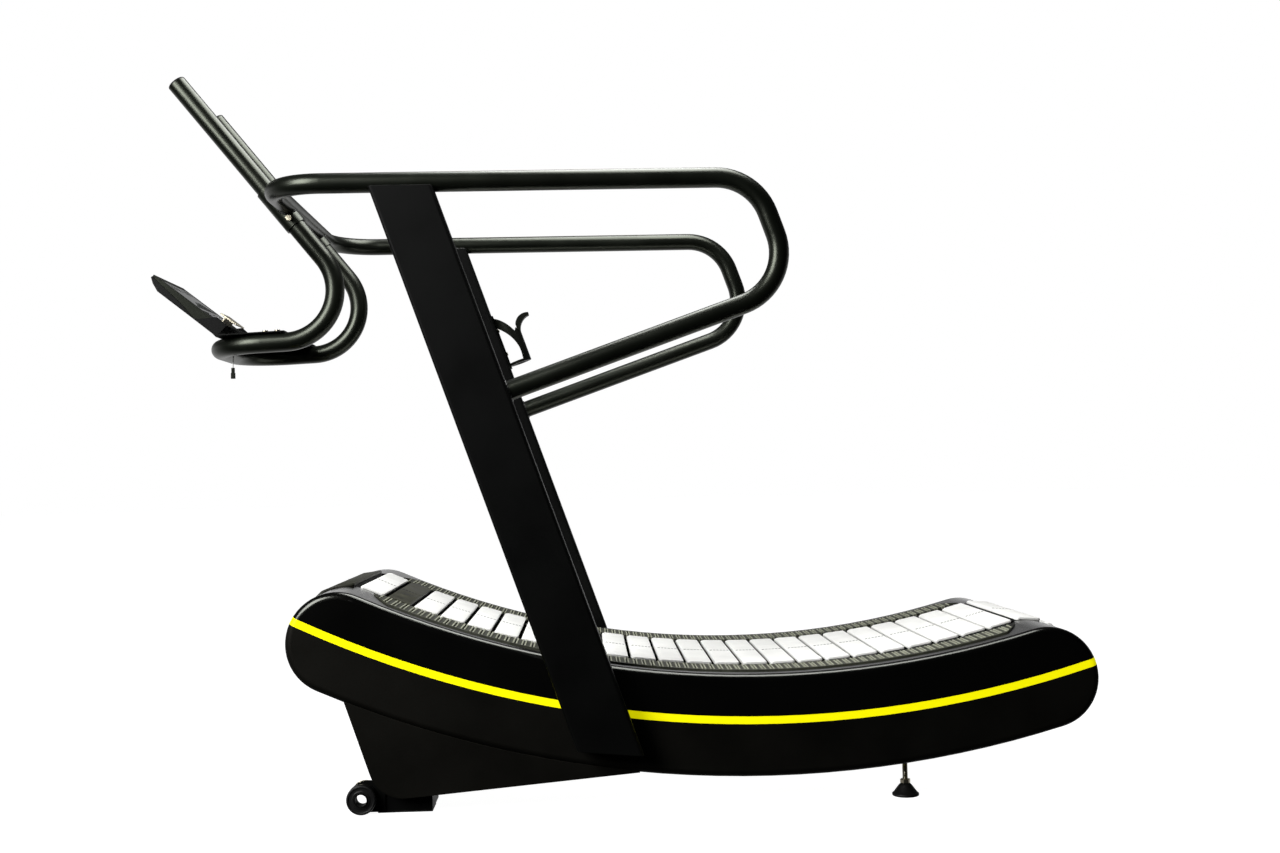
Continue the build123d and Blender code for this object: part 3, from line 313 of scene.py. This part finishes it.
def console_and_detail_materials():
    """Console, sensor lead and the coated welds."""
    return {
        # Lighter sharp edges in the console and button materials are a painted highlight.
        "console_plastic": finish("console_plastic", (0.0026, 0.003, 0.0022), 0.5, grain=900, depth=0.00005,
                                  edge_glint=0.1, edge_glint_colour=(0.02, 0.022, 0.016), specular=0.15,
                                  tint=(0.93, 1.0, 0.82)),
        "screen_clear": finish("screen_window", (0.003, 0.004, 0.005), 0.14, clouds=9, grain=300,
                               depth=0.00001,
                               coat=0.3),
        "circuit_board": finish("board_green", (0.01, 0.11, 0.045), 0.35, spread=0.4, clouds=120, grain=700,
                                depth=0.0002),
        "button_rubber": finish("button_rubber", (0.2, 0.2, 0.21), 0.6, spread=0.1, grain=900, depth=0.0001,
                                edge_glint=0.5, edge_glint_colour=(0.35, 0.35, 0.35)),
        "lead_white": finish("lead_white", (0.8, 0.8, 0.77), 0.4, spread=0.05, clouds=80, grain=900,
                             depth=0.0001),
        "magnet_metal": finish("magnet_nickel", (0.7, 0.7, 0.72), 0.2, spread=0.06, grain=500, depth=0.00003,
                               metal=1.0),
        "weld_black": finish("weld_coated", (0.007, 0.0078, 0.0065), 0.4, spread=0.35, clouds=90, grain=700,
                             depth=0.0003),
        "figure_dark": finish("figure_dark", (0.012, 0.014, 0.012), 0.5, spread=0.1, clouds=60, grain=900,
                              depth=0.00005, specular=0.1),
        "icon_pale": finish("icon_pale", (0.55, 0.56, 0.56), 0.5, spread=0.06, clouds=60, grain=900,
                            depth=0.00005),
    }


def make_materials():
    """One material for each of the record's slots, and a few for details within a slot."""
    return {**frame_and_cover_materials(), **belt_and_foot_materials(), **console_and_detail_materials()}


# ---- mesh helpers ------------------------------------------------------------------------------------
def loft(rings):
    """Vertices and faces of a closed skin over rings of equal point counts, capped at both ends."""
    count = len(rings[0])
    points = [Vector(p) for ring in rings for p in ring]
    faces = []
    for i in range(len(rings) - 1):
        a, b = i * count, (i + 1) * count
        for j in range(count):
            k = (j + 1) % count
            faces.append((a + j, a + k, b + k, b + j))
    faces.append(tuple(reversed(range(count))))
    faces.append(tuple(range(len(points) - count, len(points))))
    return points, faces


def lathe(profile, centre, axis=Vector((0, 0, 1)), steps=48):
    """Solid of revolution: profile is a closed loop of (radius, height along the axis)."""
    side = axis.orthogonal().normalized()
    other = axis.cross(side)
    rings = []
    for i in range(steps):
        turn = 2 * pi * i / steps
        out = side * cos(turn) + other * sin(turn)
        rings.append([Vector(centre) + out * r + axis * h for r, h in profile])
    return loop_loft(rings)


def loop_loft(rings):
    """Skin over rings that come back to the first one."""
    count, total = len(rings[0]), len(rings)
    points = [p for ring in rings for p in ring]
    faces = []
    for i in range(total):
        a, b = i * count, (i + 1) % total * count
        for j in range(count):
            k = (j + 1) % count
            faces.append((a + j, a + k, b + k, b + j))
    return points, faces


def placed(shape, origin, x_axis, y_axis, z_axis):
    """Shape moved from its own axes to a place with these axes."""
    points, faces = shape
    return [origin + x_axis * p[0] + y_axis * p[1] + z_axis * p[2] for p in points], faces


def rounded_block(x, y, z, round_by=0.001, corner=0.001):
    """Block between pairs of limits with rounded upright corners and softened top and bottom edges."""
    def ring(inset, height):
        half_x, half_y = (x[1] - x[0]) / 2 - inset, (y[1] - y[0]) / 2 - inset
        middle = ((x[0] + x[1]) / 2, (y[0] + y[1]) / 2)
        turn = max(corner - inset, 0.0001)
        points = []
        for quarter, (sx, sy) in enumerate(((1, 1), (-1, 1), (-1, -1), (1, -1))):
            for step in range(4):
                angle = radians(90 * quarter + 30 * step)
                points.append((middle[0] + sx * (half_x - turn) + turn * cos(angle),
                               middle[1] + sy * (half_y - turn) + turn * sin(angle), height))
        return points
    return loft([ring(round_by, z[0]), ring(0, z[0] + round_by), ring(0, z[1] - round_by),
                 ring(round_by * 0.3, z[1] - round_by * 0.3), ring(round_by, z[1])])


def make_piece(name, shapes, material, body="frame", smooth=40.0):
    """Object from a list of shapes, riding on a body."""
    points, faces = [], []
    for shape_points, shape_faces in shapes:
        base = len(points)
        points += [tuple(p) for p in shape_points]
        faces += [tuple(base + i for i in face) for face in shape_faces]
    mesh = bpy.data.meshes.new(name)
    mesh.from_pydata(points, [], faces)
    bm = bmesh.new()
    bm.from_mesh(mesh)
    bmesh.ops.recalc_face_normals(bm, faces=bm.faces)
    for edge in bm.edges:
        edge.smooth = len(edge.link_faces) == 2 and edge.calc_face_angle(0) < radians(smooth)
    for face in bm.faces:
        face.smooth = True
    bm.to_mesh(mesh)
    bm.free()
    mesh.materials.append(material)
    piece = bpy.data.objects.new(name, mesh)
    bpy.context.scene.collection.objects.link(piece)
    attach(piece, body)
    return piece


def arc_place(x, radius):
    """Point on the bed's arc at x, with the directions along it and away from its centre."""
    turn = asin((x - ARC_X) / radius)
    along, down = Vector((cos(turn), 0, sin(turn))), Vector((sin(turn), 0, -cos(turn)))
    return Vector((ARC_X, 0, ARC_Z)) + down * radius, along, down


# ---- running belt ------------------------------------------------------------------------------------
def slat_frames():
    """Middle of each CAD slat's inner face, with the directions along the belt and outwards."""
    bm = bmesh.new()
    bm.from_mesh(frame["nodes"]["running_slats"].data)
    bmesh.ops.remove_doubles(bm, verts=bm.verts, dist=1e-6)
    places, seen = [], set()
    for start in bm.faces:
        if start.index in seen:
            continue
        island, queue = [], [start]
        seen.add(start.index)
        while queue:
            face = queue.pop()
            island.append(face)
            for edge in face.edges:
                for other in edge.link_faces:
                    if other.index not in seen:
                        seen.add(other.index)
                        queue.append(other)
        places.append(slat_frame(island))
    bm.free()
    return places


def slat_frame(island):
    """The inner face is the slat's largest flat, because the outer one has rounded edges."""
    areas = {}
    for face in island:
        key = tuple(round(c, 3) for c in face.normal)
        areas.setdefault(key, []).append(face)
    inner = max(areas.values(), key=lambda faces: sum(f.calc_area() for f in faces))
    total = sum(f.calc_area() for f in inner)
    middle = sum((f.calc_center_median() * f.calc_area() for f in inner), Vector()) / total
    outward = -inner[0].normal.normalized()
    return middle, Vector((0, 1, 0)).cross(outward), outward


def tread_shape():
    """Pale pad of one slat: rounded corners, softened top edge and a sloping front strip."""
    width, length, strip, drop = SLAT_HALF_WIDTH - 0.0016, SLAT_HALF_LENGTH, 0.0085, 0.0026
    points, faces = rounded_block((-width, width), (-length, length), (0.0062, SLAT_THICK), 0.0024, 0.0055)
    bm = bmesh.new()
    for point in points:
        bm.verts.new(point)
    bm.verts.ensure_lookup_table()
    for face in faces:
        bm.faces.new([bm.verts[i] for i in face])
    fold = -width + strip
    everything = [*bm.verts, *bm.edges, *bm.faces]
    bmesh.ops.bisect_plane(bm, geom=everything, plane_co=(fold, 0, 0), plane_no=(1, 0, 0))
    for vertex in bm.verts:
        if vertex.co.x < fold - 1e-5 and vertex.co.z > SLAT_THICK / 2:
            vertex.co.z -= drop * (fold - vertex.co.x) / strip
    bm.verts.index_update()
    shape = [v.co.copy() for v in bm.verts], [tuple(v.index for v in f.verts) for f in bm.faces]
    bm.free()
    return shape


def slat_details():
    """Shapes of one slat, by the piece they belong to."""
    width, length = SLAT_HALF_WIDTH, SLAT_HALF_LENGTH
    bars = [rounded_block((-width + 0.0022, width - 0.0022), (-length + 0.002, length - 0.002),
                          (0, BAR_THICK), 0.0006, 0.003)]
    dashes = []
    for step in range(DASH_COUNT):
        x = -width + DASH_START + DASH_PITCH * step
        dashes.append(rounded_block((x - DASH_HALF_LENGTH, x + DASH_HALF_LENGTH),
                                    (-DASH_HALF_WIDTH, DASH_HALF_WIDTH), (DASH_BASE, SLAT_THICK + 0.0001),
                                    0.00015, 0.0012))
    return {"bars": bars, "treads": [tread_shape()], "dashes": dashes}


def make_slats(materials):
    """Belt of slats: dark bars and pale treads with a dashed centre line; one tread is darker, and the
    treads round the front nose take a dark copy of the tread as painted shade.
    """
    details = slat_details()
    gathered = {"bars": [], "treads": [], "dashes": [], "dark": [], "nose_shaded": []}
    for origin, along, outward in slat_frames():
        axes = (origin, along, Vector((0, 1, 0)), outward)
        kind = "treads"
        if outward.z > 0.5 and abs(origin.x - DARK_SLAT_X) < SLAT_HALF_WIDTH:
            kind = "dark"
        # Treads round the front nose get painted shade: a dark copy of the pale tread.
        elif origin.x < SHADED_FROM_X:
            kind = "nose_shaded"
        gathered["bars"] += [placed(shape, *axes) for shape in details["bars"]]
        gathered["dashes"] += [placed(shape, *axes) for shape in details["dashes"]]
        gathered[kind] += [placed(shape, *axes) for shape in details["treads"]]
    bars = make_piece("slat_bars", gathered["bars"], materials["belt_rubber"])
    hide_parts("running_slats")
    make_piece("slat_treads", gathered["treads"], materials["slat_tread"])
    make_piece("slat_tread_dark", gathered["dark"], materials["tread_dark"])
    make_piece("slat_treads_painted_shade", gathered["nose_shaded"], materials["tread_painted_shade"])
    make_piece("slat_dash_lines", gathered["dashes"], materials["belt_rubber"])


# ---- foot rest strips --------------------------------------------------------------------------------
def circle_through(a, b, c):
    """Centre and radius of the circle through three points of the plan."""
    (ax, ay), (bx, by), (cx, cy) = a, b, c
    d = 2 * (ax * (by - cy) + bx * (cy - ay) + cx * (ay - by))
    ux = ((ax**2 + ay**2) * (by - cy) + (bx**2 + by**2) * (cy - ay) + (cx**2 + cy**2) * (ay - by)) / d
    uy = ((ax**2 + ay**2) * (cx - bx) + (bx**2 + by**2) * (ax - cx) + (cx**2 + cy**2) * (bx - ax)) / d
    return ux, uy, hypot(ax - ux, ay - uy)


def strip_reach(x):
    """How far out the strip reaches at x: its ends sweep in to the belt."""
    middle = (STRIP_IN + STRIP_OUT) / 2 + STRIP_BULGE
    bed_x = x - SHIFT
    for (inner_x, middle_x, outer_x), side in STRIP_ENDS:
        if (bed_x - outer_x) * side > 0:
            if (bed_x - inner_x) * side > 0:
                return STRIP_IN
            cx, cy, radius = circle_through((inner_x, STRIP_IN), (middle_x, middle), (outer_x, STRIP_OUT))
            return min(STRIP_OUT, cy + sqrt(max(radius**2 - (bed_x - cx) ** 2, 0)))
    return STRIP_OUT


def rib_limits(x):
    """Inner and outer ends of the cross ribs at x: the dark channel beside the belt widens to the rear."""
    widen = min(1.0, max(0.0, x - SHIFT + 0.55))
    return STRIP_IN + 0.003 + 0.034 * widen, min(RIB_OUT, strip_reach(x) - 0.007)


def arc_blocks(centres, half_length, r_top, side):
    """Row of blocks across the strip, each set square to the bed's arc."""
    shapes = []
    for x in centres:
        low, high = rib_limits(x)
        if high - low < 0.004:
            continue
        origin, along, down = arc_place(x, r_top)
        depth = TILE_BASE_R - r_top
        block = rounded_block((-half_length, half_length), (low, high), (0, depth), 0.0005, 0.0015)
        shapes.append(placed(block, origin, along, Vector((0, side, 0)), down))
    return shapes


def strip_band(side, r_top, r_bottom, steps=150):
    """Curved band that follows the arc between the belt and the strip's reach at each x."""
    first, last = STRIP_SPAN
    rings = []
    for i in range(steps + 1):
        x = first + (last - first) * i / steps
        out = max(strip_reach(x), STRIP_IN + 0.0003)
        top, _, down = arc_place(x, r_top)
        low = top + down * (r_bottom - r_top)
        section = ((top, STRIP_IN), (top, out), (low, out), (low, STRIP_IN))
        rings.append([Vector((p.x, side * y, p.z)) for p, y in section])
    return loft(rings)


def make_strips(materials):
    """Foot rest strips: a dark floor, cross tiles whose raised edges take a pale copy of the tile rubber as
    a painted highlight, and a thin rim outside them.
    """
    floors, tiles, edges, rims = [], [], [], []
    centres = [TILE_START + TILE_PITCH * i for i in range(int(TILE_RUN / TILE_PITCH) + 1)]
    for side in (-1, 1):
        floors.append(strip_band(side, STRIP_TOP_R + 0.0062, STRIP_BASE_R - 0.0003))
        tiles += arc_blocks(centres, TILE_HALF - TILE_EDGE_HALF, TILE_TOP_R, side)
        for offset in (-TILE_HALF, TILE_HALF):
            # The raised tile edges are painted pale as a highlight; the tile middles keep the dark colour.
            edges += arc_blocks([x + offset for x in centres], TILE_EDGE_HALF, TILE_EDGE_TOP_R, side)
        rims.append(rim_band(side))
    base = make_piece("strip_floors", floors, materials["strip_floor"])
    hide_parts("foot_rest_strips")
    make_piece("strip_tiles", tiles, materials["strip_tile"])
    make_piece("strip_tile_edge_highlights", edges, materials["strip_rubber"])
    make_piece("strip_rims", rims, materials["strip_tile"])


def rim_band(side, steps=180):
    """Thin raised line outside the tiles, round both swept ends."""
    first, last = RIM_SPAN
    rings = []
    for i in range(steps + 1):
        x = first + (last - first) * i / steps
        out = max(min(RIB_OUT + 0.007, strip_reach(x) - 0.001), STRIP_IN + RIM_WIDE)
        inside = out - RIM_WIDE
        top, _, down = arc_place(x, STRIP_TOP_R + 0.0008)
        soft, low = top + down * 0.0006, top + down * 0.0056
        section = ((soft, inside), (top, inside + 0.0006), (top, out - 0.0006),
                   (soft, out), (low, out), (low, inside))
        rings.append([Vector((p.x, side * y, p.z)) for p, y in section])
    return loft(rings)


# ---- welds -------------------------------------------------------------------------------------------
def bead(path, size, closed=False):
    """Weld bead along a path: overlapping ripples on a rounded fillet."""
    points = resample(path, size * 0.42, closed)
    rings, count = [], len(points)
    for i, point in enumerate(points):
        ahead = points[(i + 1) % count] if closed or i < count - 1 else point
        behind = points[i - 1] if closed or i > 0 else point
        along = (ahead - behind).normalized()
        side = along.orthogonal().normalized()
        other = along.cross(side)
        swell = size * (0.82 + 0.18 * abs(sin(pi * i / 4)) + 0.05 * sin(i * 1.7))
        rings.append([point + (side * cos(a) + other * sin(a)) * swell / 2
                      for a in (2 * pi * k / 8 for k in range(8))])
    return loop_loft(rings) if closed else loft(rings)


def resample(path, step, closed):
    """Points at an even step along straight runs."""
    points = [Vector(p) for p in path]
    ends = points[1:] + ([points[0]] if closed else [])
    made = []
    for start, end in zip(points, ends):
        parts = max(1, ceil((end - start).length / step))
        made += [start.lerp(end, k / parts) for k in range(parts)]
    return made if closed else made + [points[-1]]


def upright_x(z):
    """X of the upright's centre line at height z."""
    return UPRIGHT_TOP_X + (UPRIGHT_TOP_Z - z) * sin(LEAN) / cos(LEAN)


def strut_ring(side, radius):
    """Where the strut tube meets the upright's rear face."""
    slope = Vector((1, 0, STRUT_SLOPE)).normalized()
    cross = Vector((0, 1, 0))
    up = cross.cross(slope)
    axis_point = Vector((STRUT_POINT[0], side * UPRIGHT_Y, STRUT_POINT[1]))
    normal = Vector((cos(LEAN), 0, sin(LEAN)))
    face = Vector((upright_x(0.9), side * UPRIGHT_Y, 0.9)) + normal * UPRIGHT_HALF_DEPTH
    ring = []
    for i in range(36):
        turn = 2 * pi * i / 36
        start = axis_point + (cross * cos(turn) + up * sin(turn)) * radius
        ring.append(start + slope * ((face - start).dot(normal) / slope.dot(normal)))
    return ring


def sleeve_curves(side):
    """Where a handle sleeve meets the front cross tube, one curve on each side of the sleeve."""
    run = Vector((HANDLE_ELBOW[0] - HANDLE_TOP[0], HANDLE_ELBOW[1] - HANDLE_TOP[1])).normalized()
    curves = []
    for lean in (-1, 1):
        curve = []
        for i in range(25):
            turn = radians(-150 + 300 * i / 24)
            x, z = CROSS_TUBE_X + TUBE_R * cos(turn), RAIL_Z + TUBE_R * sin(turn)
            off = (x - HANDLE_TOP[0]) * run.y - (z - HANDLE_TOP[1]) * run.x
            if abs(off) < SLEEVE_R * 0.98:
                curve.append((x, side * HANDLE_Y + lean * sqrt(SLEEVE_R**2 - off**2), z))
        curves.append(curve)
    return curves


def make_welds(materials):
    """Coated weld beads at the joints of the frame."""
    shapes = []
    reach = UPRIGHT_HALF_DEPTH / cos(LEAN)
    for side in (-1, 1):
        for edge in (-0.0185, 0.0185):
            y = side * (UPRIGHT_Y + edge)
            shapes.append(bead([(UPRIGHT_TOP_X - reach + 0.004, y, UPRIGHT_TOP_Z + 0.0008),
                                (UPRIGHT_TOP_X + reach - 0.004, y, UPRIGHT_TOP_Z + 0.0008)], 0.006))
        shapes.append(bead(strut_ring(side, TUBE_R + 0.0005), 0.0055, closed=True))
        shapes += [bead(curve, 0.005) for curve in sleeve_curves(side)]
    make_piece("weld_beads", shapes, materials["weld_black"], smooth=80)


# ---- feet and wheels ---------------------------------------------------------------------------------
def thread_shape(x, y, z_low, z_high, root, crest, pitch, steps=20):
    """Threaded rod: a skin whose radius rises and falls along a helix."""
    rings, per_turn = [], 4
    rows = int((z_high - z_low) / pitch * per_turn)
    for row in range(rows + 1):
        z = z_low + (z_high - z_low) * row / rows
        ring = []
        for i in range(steps):
            phase = (z / pitch - i / steps) % 1.0
            radius = root + (crest - root) * (1 - abs(2 * phase - 1))
            if row in (0, rows):
                radius = root
            turn = 2 * pi * i / steps
            ring.append((x + radius * cos(turn), y + radius * sin(turn), z))
        rings.append(ring)
    return loft(rings)


def hexagon(x, y, z_low, z_high, across):
    """Hexagon nut with chamfered corners."""
    rings = []
    for z, cut in ((z_low, 0.93), (z_low + 0.0008, 1.0), (z_high - 0.0008, 1.0), (z_high, 0.93)):
        corners = [pi * k / 3 for k in range(6)]
        rings.append([(x + across * cut * cos(turn), y + across * cut * sin(turn), z) for turn in corners])
    return loft(rings)


def make_level_feet(materials):
    """Threaded stems with a lock nut, and conical pads with a rubber rim."""
    for side, name in ((-1, "left"), (1, "right")):
        y = side * LEVEL_Y
        stem = [thread_shape(LEVEL_X, y, 0.034, 0.1555, 0.0051, 0.00598, 0.002),
                hexagon(LEVEL_X, y, 0.0262, 0.0348, 0.0109)]
        piece = make_piece(f"level_thread_{name}", stem, materials["zinc_steel"],
                           f"level_foot_{name}", smooth=35)
        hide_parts(f"level_stem_{name}")
        profile = [(0.0001, 0.0), (0.0272, 0.0), (0.0284, 0.0012), (0.0284, 0.0046), (0.0276, 0.0056),
                   (0.0262, 0.0060), (0.0150, 0.0208), (0.0138, 0.0222), (0.0104, 0.0256), (0.0098, 0.0260),
                   (0.0001, 0.0260)]
        pad = make_piece(f"level_cone_{name}", [lathe(profile, (LEVEL_X, y, 0))], materials["foot_rubber"],
                         f"level_foot_{name}")
        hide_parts(f"level_pad_{name}")


def make_wheels(materials):
    """Moulded transport wheels: rounded tread, parting line, recessed faces and a raised hub."""
    for side, name in ((-1, "left"), (1, "right")):
        half, edge = 0.0119, 0.003
        outer = [(0.0151, -half), (0.0185, -half), (0.0195, -half + 0.0015), (0.0255, -half + 0.0015),
                 (0.0265, -half), (WHEEL_R - edge, -half), (WHEEL_R - edge * 0.3, -half + edge * 0.3),
                 (WHEEL_R, -half + edge), (WHEEL_R, -0.0006), (WHEEL_R - 0.0005, 0)]
        profile = outer + [(r, -h) for r, h in reversed(outer[:-1])]
        wheel = make_piece(f"wheel_{name}_tyre", [lathe(profile, (WHEEL_X, side * WHEEL_Y, WHEEL_Z),
                                                        Vector((0, 1, 0)), 64)],
                           materials["wheel_rubber"], f"wheel_{name}")
        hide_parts(f"transport_wheel_{name}")


def make_wheel_lug_highlights(materials):
    """Thin zinc-coloured strip over the top of each wheel lug: a painted highlight along the lug's top edge.
    """
    shapes = []
    for side in (-1, 1):
        rings = []
        for step in range(13):
            turn = radians(62 + 66 * step / 12)
            section = ((0.0331, 0.3455), (0.0339, 0.3459), (0.0339, 0.3485), (0.0331, 0.3489))
            rings.append([(LUG_X + r * cos(turn), side * y, LUG_Z + r * sin(turn)) for r, y in section])
        shapes.append(loft(rings))
    make_piece("wheel_lug_highlights", shapes, materials["zinc_steel"])


# ---- console -----------------------------------------------------------------------------------------
def panel_axes():
    """Display face: origin at its tip, then the directions down it, across it and out of it."""
    down = Vector((cos(PANEL_ANGLE), 0, -sin(PANEL_ANGLE)))
    out = Vector((sin(PANEL_ANGLE), 0, cos(PANEL_ANGLE)))
    return Vector((PANEL_TIP[0], 0, PANEL_TIP[1])), down, Vector((0, 1, 0)), out


def digit_bars(down, across, size):
    """The seven bars of a digit 0 or 8 on the display, seen by the runner with its top away from them."""
    half, thick = size / 2, size * 0.13
    lying = [(-size, 0), (0, 0), (size, 0)]
    standing = [(-half, -half), (-half, half), (half, -half), (half, half)]
    shapes = []
    for d, a in lying:
        shapes.append((down + d, across + a, thick, half - thick))
    for d, a in standing:
        shapes.append((down + d, across + a, half - thick, thick))
    return shapes


def make_display(materials):
    """Plain figures and a bar graph inside the window, and a raised sign on each button."""
    axes = panel_axes()
    marks = []
    for across in (-0.072, -0.054, -0.032, -0.014, 0.03, 0.048, 0.066):
        marks += digit_bars(SCREEN_DOWN[0] + 0.018, across, 0.009)
    heights = (0.008, 0.012, 0.017, 0.024, 0.03, 0.034, 0.03, 0.036, 0.04, 0.036, 0.03, 0.022, 0.014)
    for index, height in enumerate(heights):
        marks.append((SCREEN_DOWN[1] - 0.012 - height / 2, -0.078 + 0.013 * index, height / 2, 0.0045))
    shapes = []
    for d, a, hd, ha in marks:
        bar = rounded_block((d - hd, d + hd), (a - ha, a + ha), (-0.0006, -0.0001), 0.00008, 0.0004)
        shapes.append(placed(bar, *axes))
    make_piece("display_figures", shapes, materials["figure_dark"])
    minus, square, upright_bar = (0, 0, 0.0012, 0.006), (0, 0, 0.004, 0.004), (0, 0, 0.006, 0.0012)
    signs = {1: [minus], 2: [square], 3: [minus, upright_bar]}
    for number, bars in signs.items():
        across = -0.05 + 0.05 * (number - 1)
        raised = []
        for d, a, hd, ha in bars:
            lengths = (BUTTON_DOWN + d - hd * 0.7, BUTTON_DOWN + d + hd * 0.7)
            widths = (across + a - ha * 0.7, across + a + ha * 0.7)
            raised.append(placed(rounded_block(lengths, widths, (0.0014, 0.0019), 0.0001, 0.0004), *axes))
        make_piece(f"button_sign_{number}", raised, materials["icon_pale"],
                   f"button_{number}")


def make_lead(materials):
    """Short white sensor lead from the bracket's grommet down to its connector."""
    route = [(-1.0286, -0.080, 1.020), (-1.0276, -0.0794, 0.992), (-1.0292, -0.0806, 0.962)]
    data = bpy.data.curves.new("sensor_lead_line", "CURVE")
    data.dimensions, data.bevel_depth, data.bevel_resolution = "3D", 0.0012, 4
    data.use_fill_caps = True
    line = data.splines.new("NURBS")
    line.points.add(len(route) - 1)
    for point, (x, y, z) in zip(line.points, route):
        point.co = (x + SHIFT, y, z, 1)
    line.order_u, line.use_endpoint_u, line.resolution_u = 3, True, 12
    data.materials.append(materials["lead_white"])
    lead = bpy.data.objects.new("sensor_lead_line", data)
    bpy.context.scene.collection.objects.link(lead)
    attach(lead, "frame")
    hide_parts("sensor_lead")
    x, y, z = route[0]


def dress_cad_nodes(materials):
    """Every CAD node takes the material of its slot in the record."""
    for part in frame["record"]["subparts"]:
        node = frame["nodes"][part["node"]]
        if not node.material_slots:
            node.data.materials.append(None)
        for holder in node.material_slots:
            holder.material = materials[part["material_slot"]]


make_camera()
materials = make_materials()
make_lead(materials)
make_floor()
light_the_set()
dress_cad_nodes(materials)
make_slats(materials)
make_strips(materials)
make_welds(materials)
make_level_feet(materials)
make_wheels(materials)
make_wheel_lug_highlights(materials)
make_display(materials)
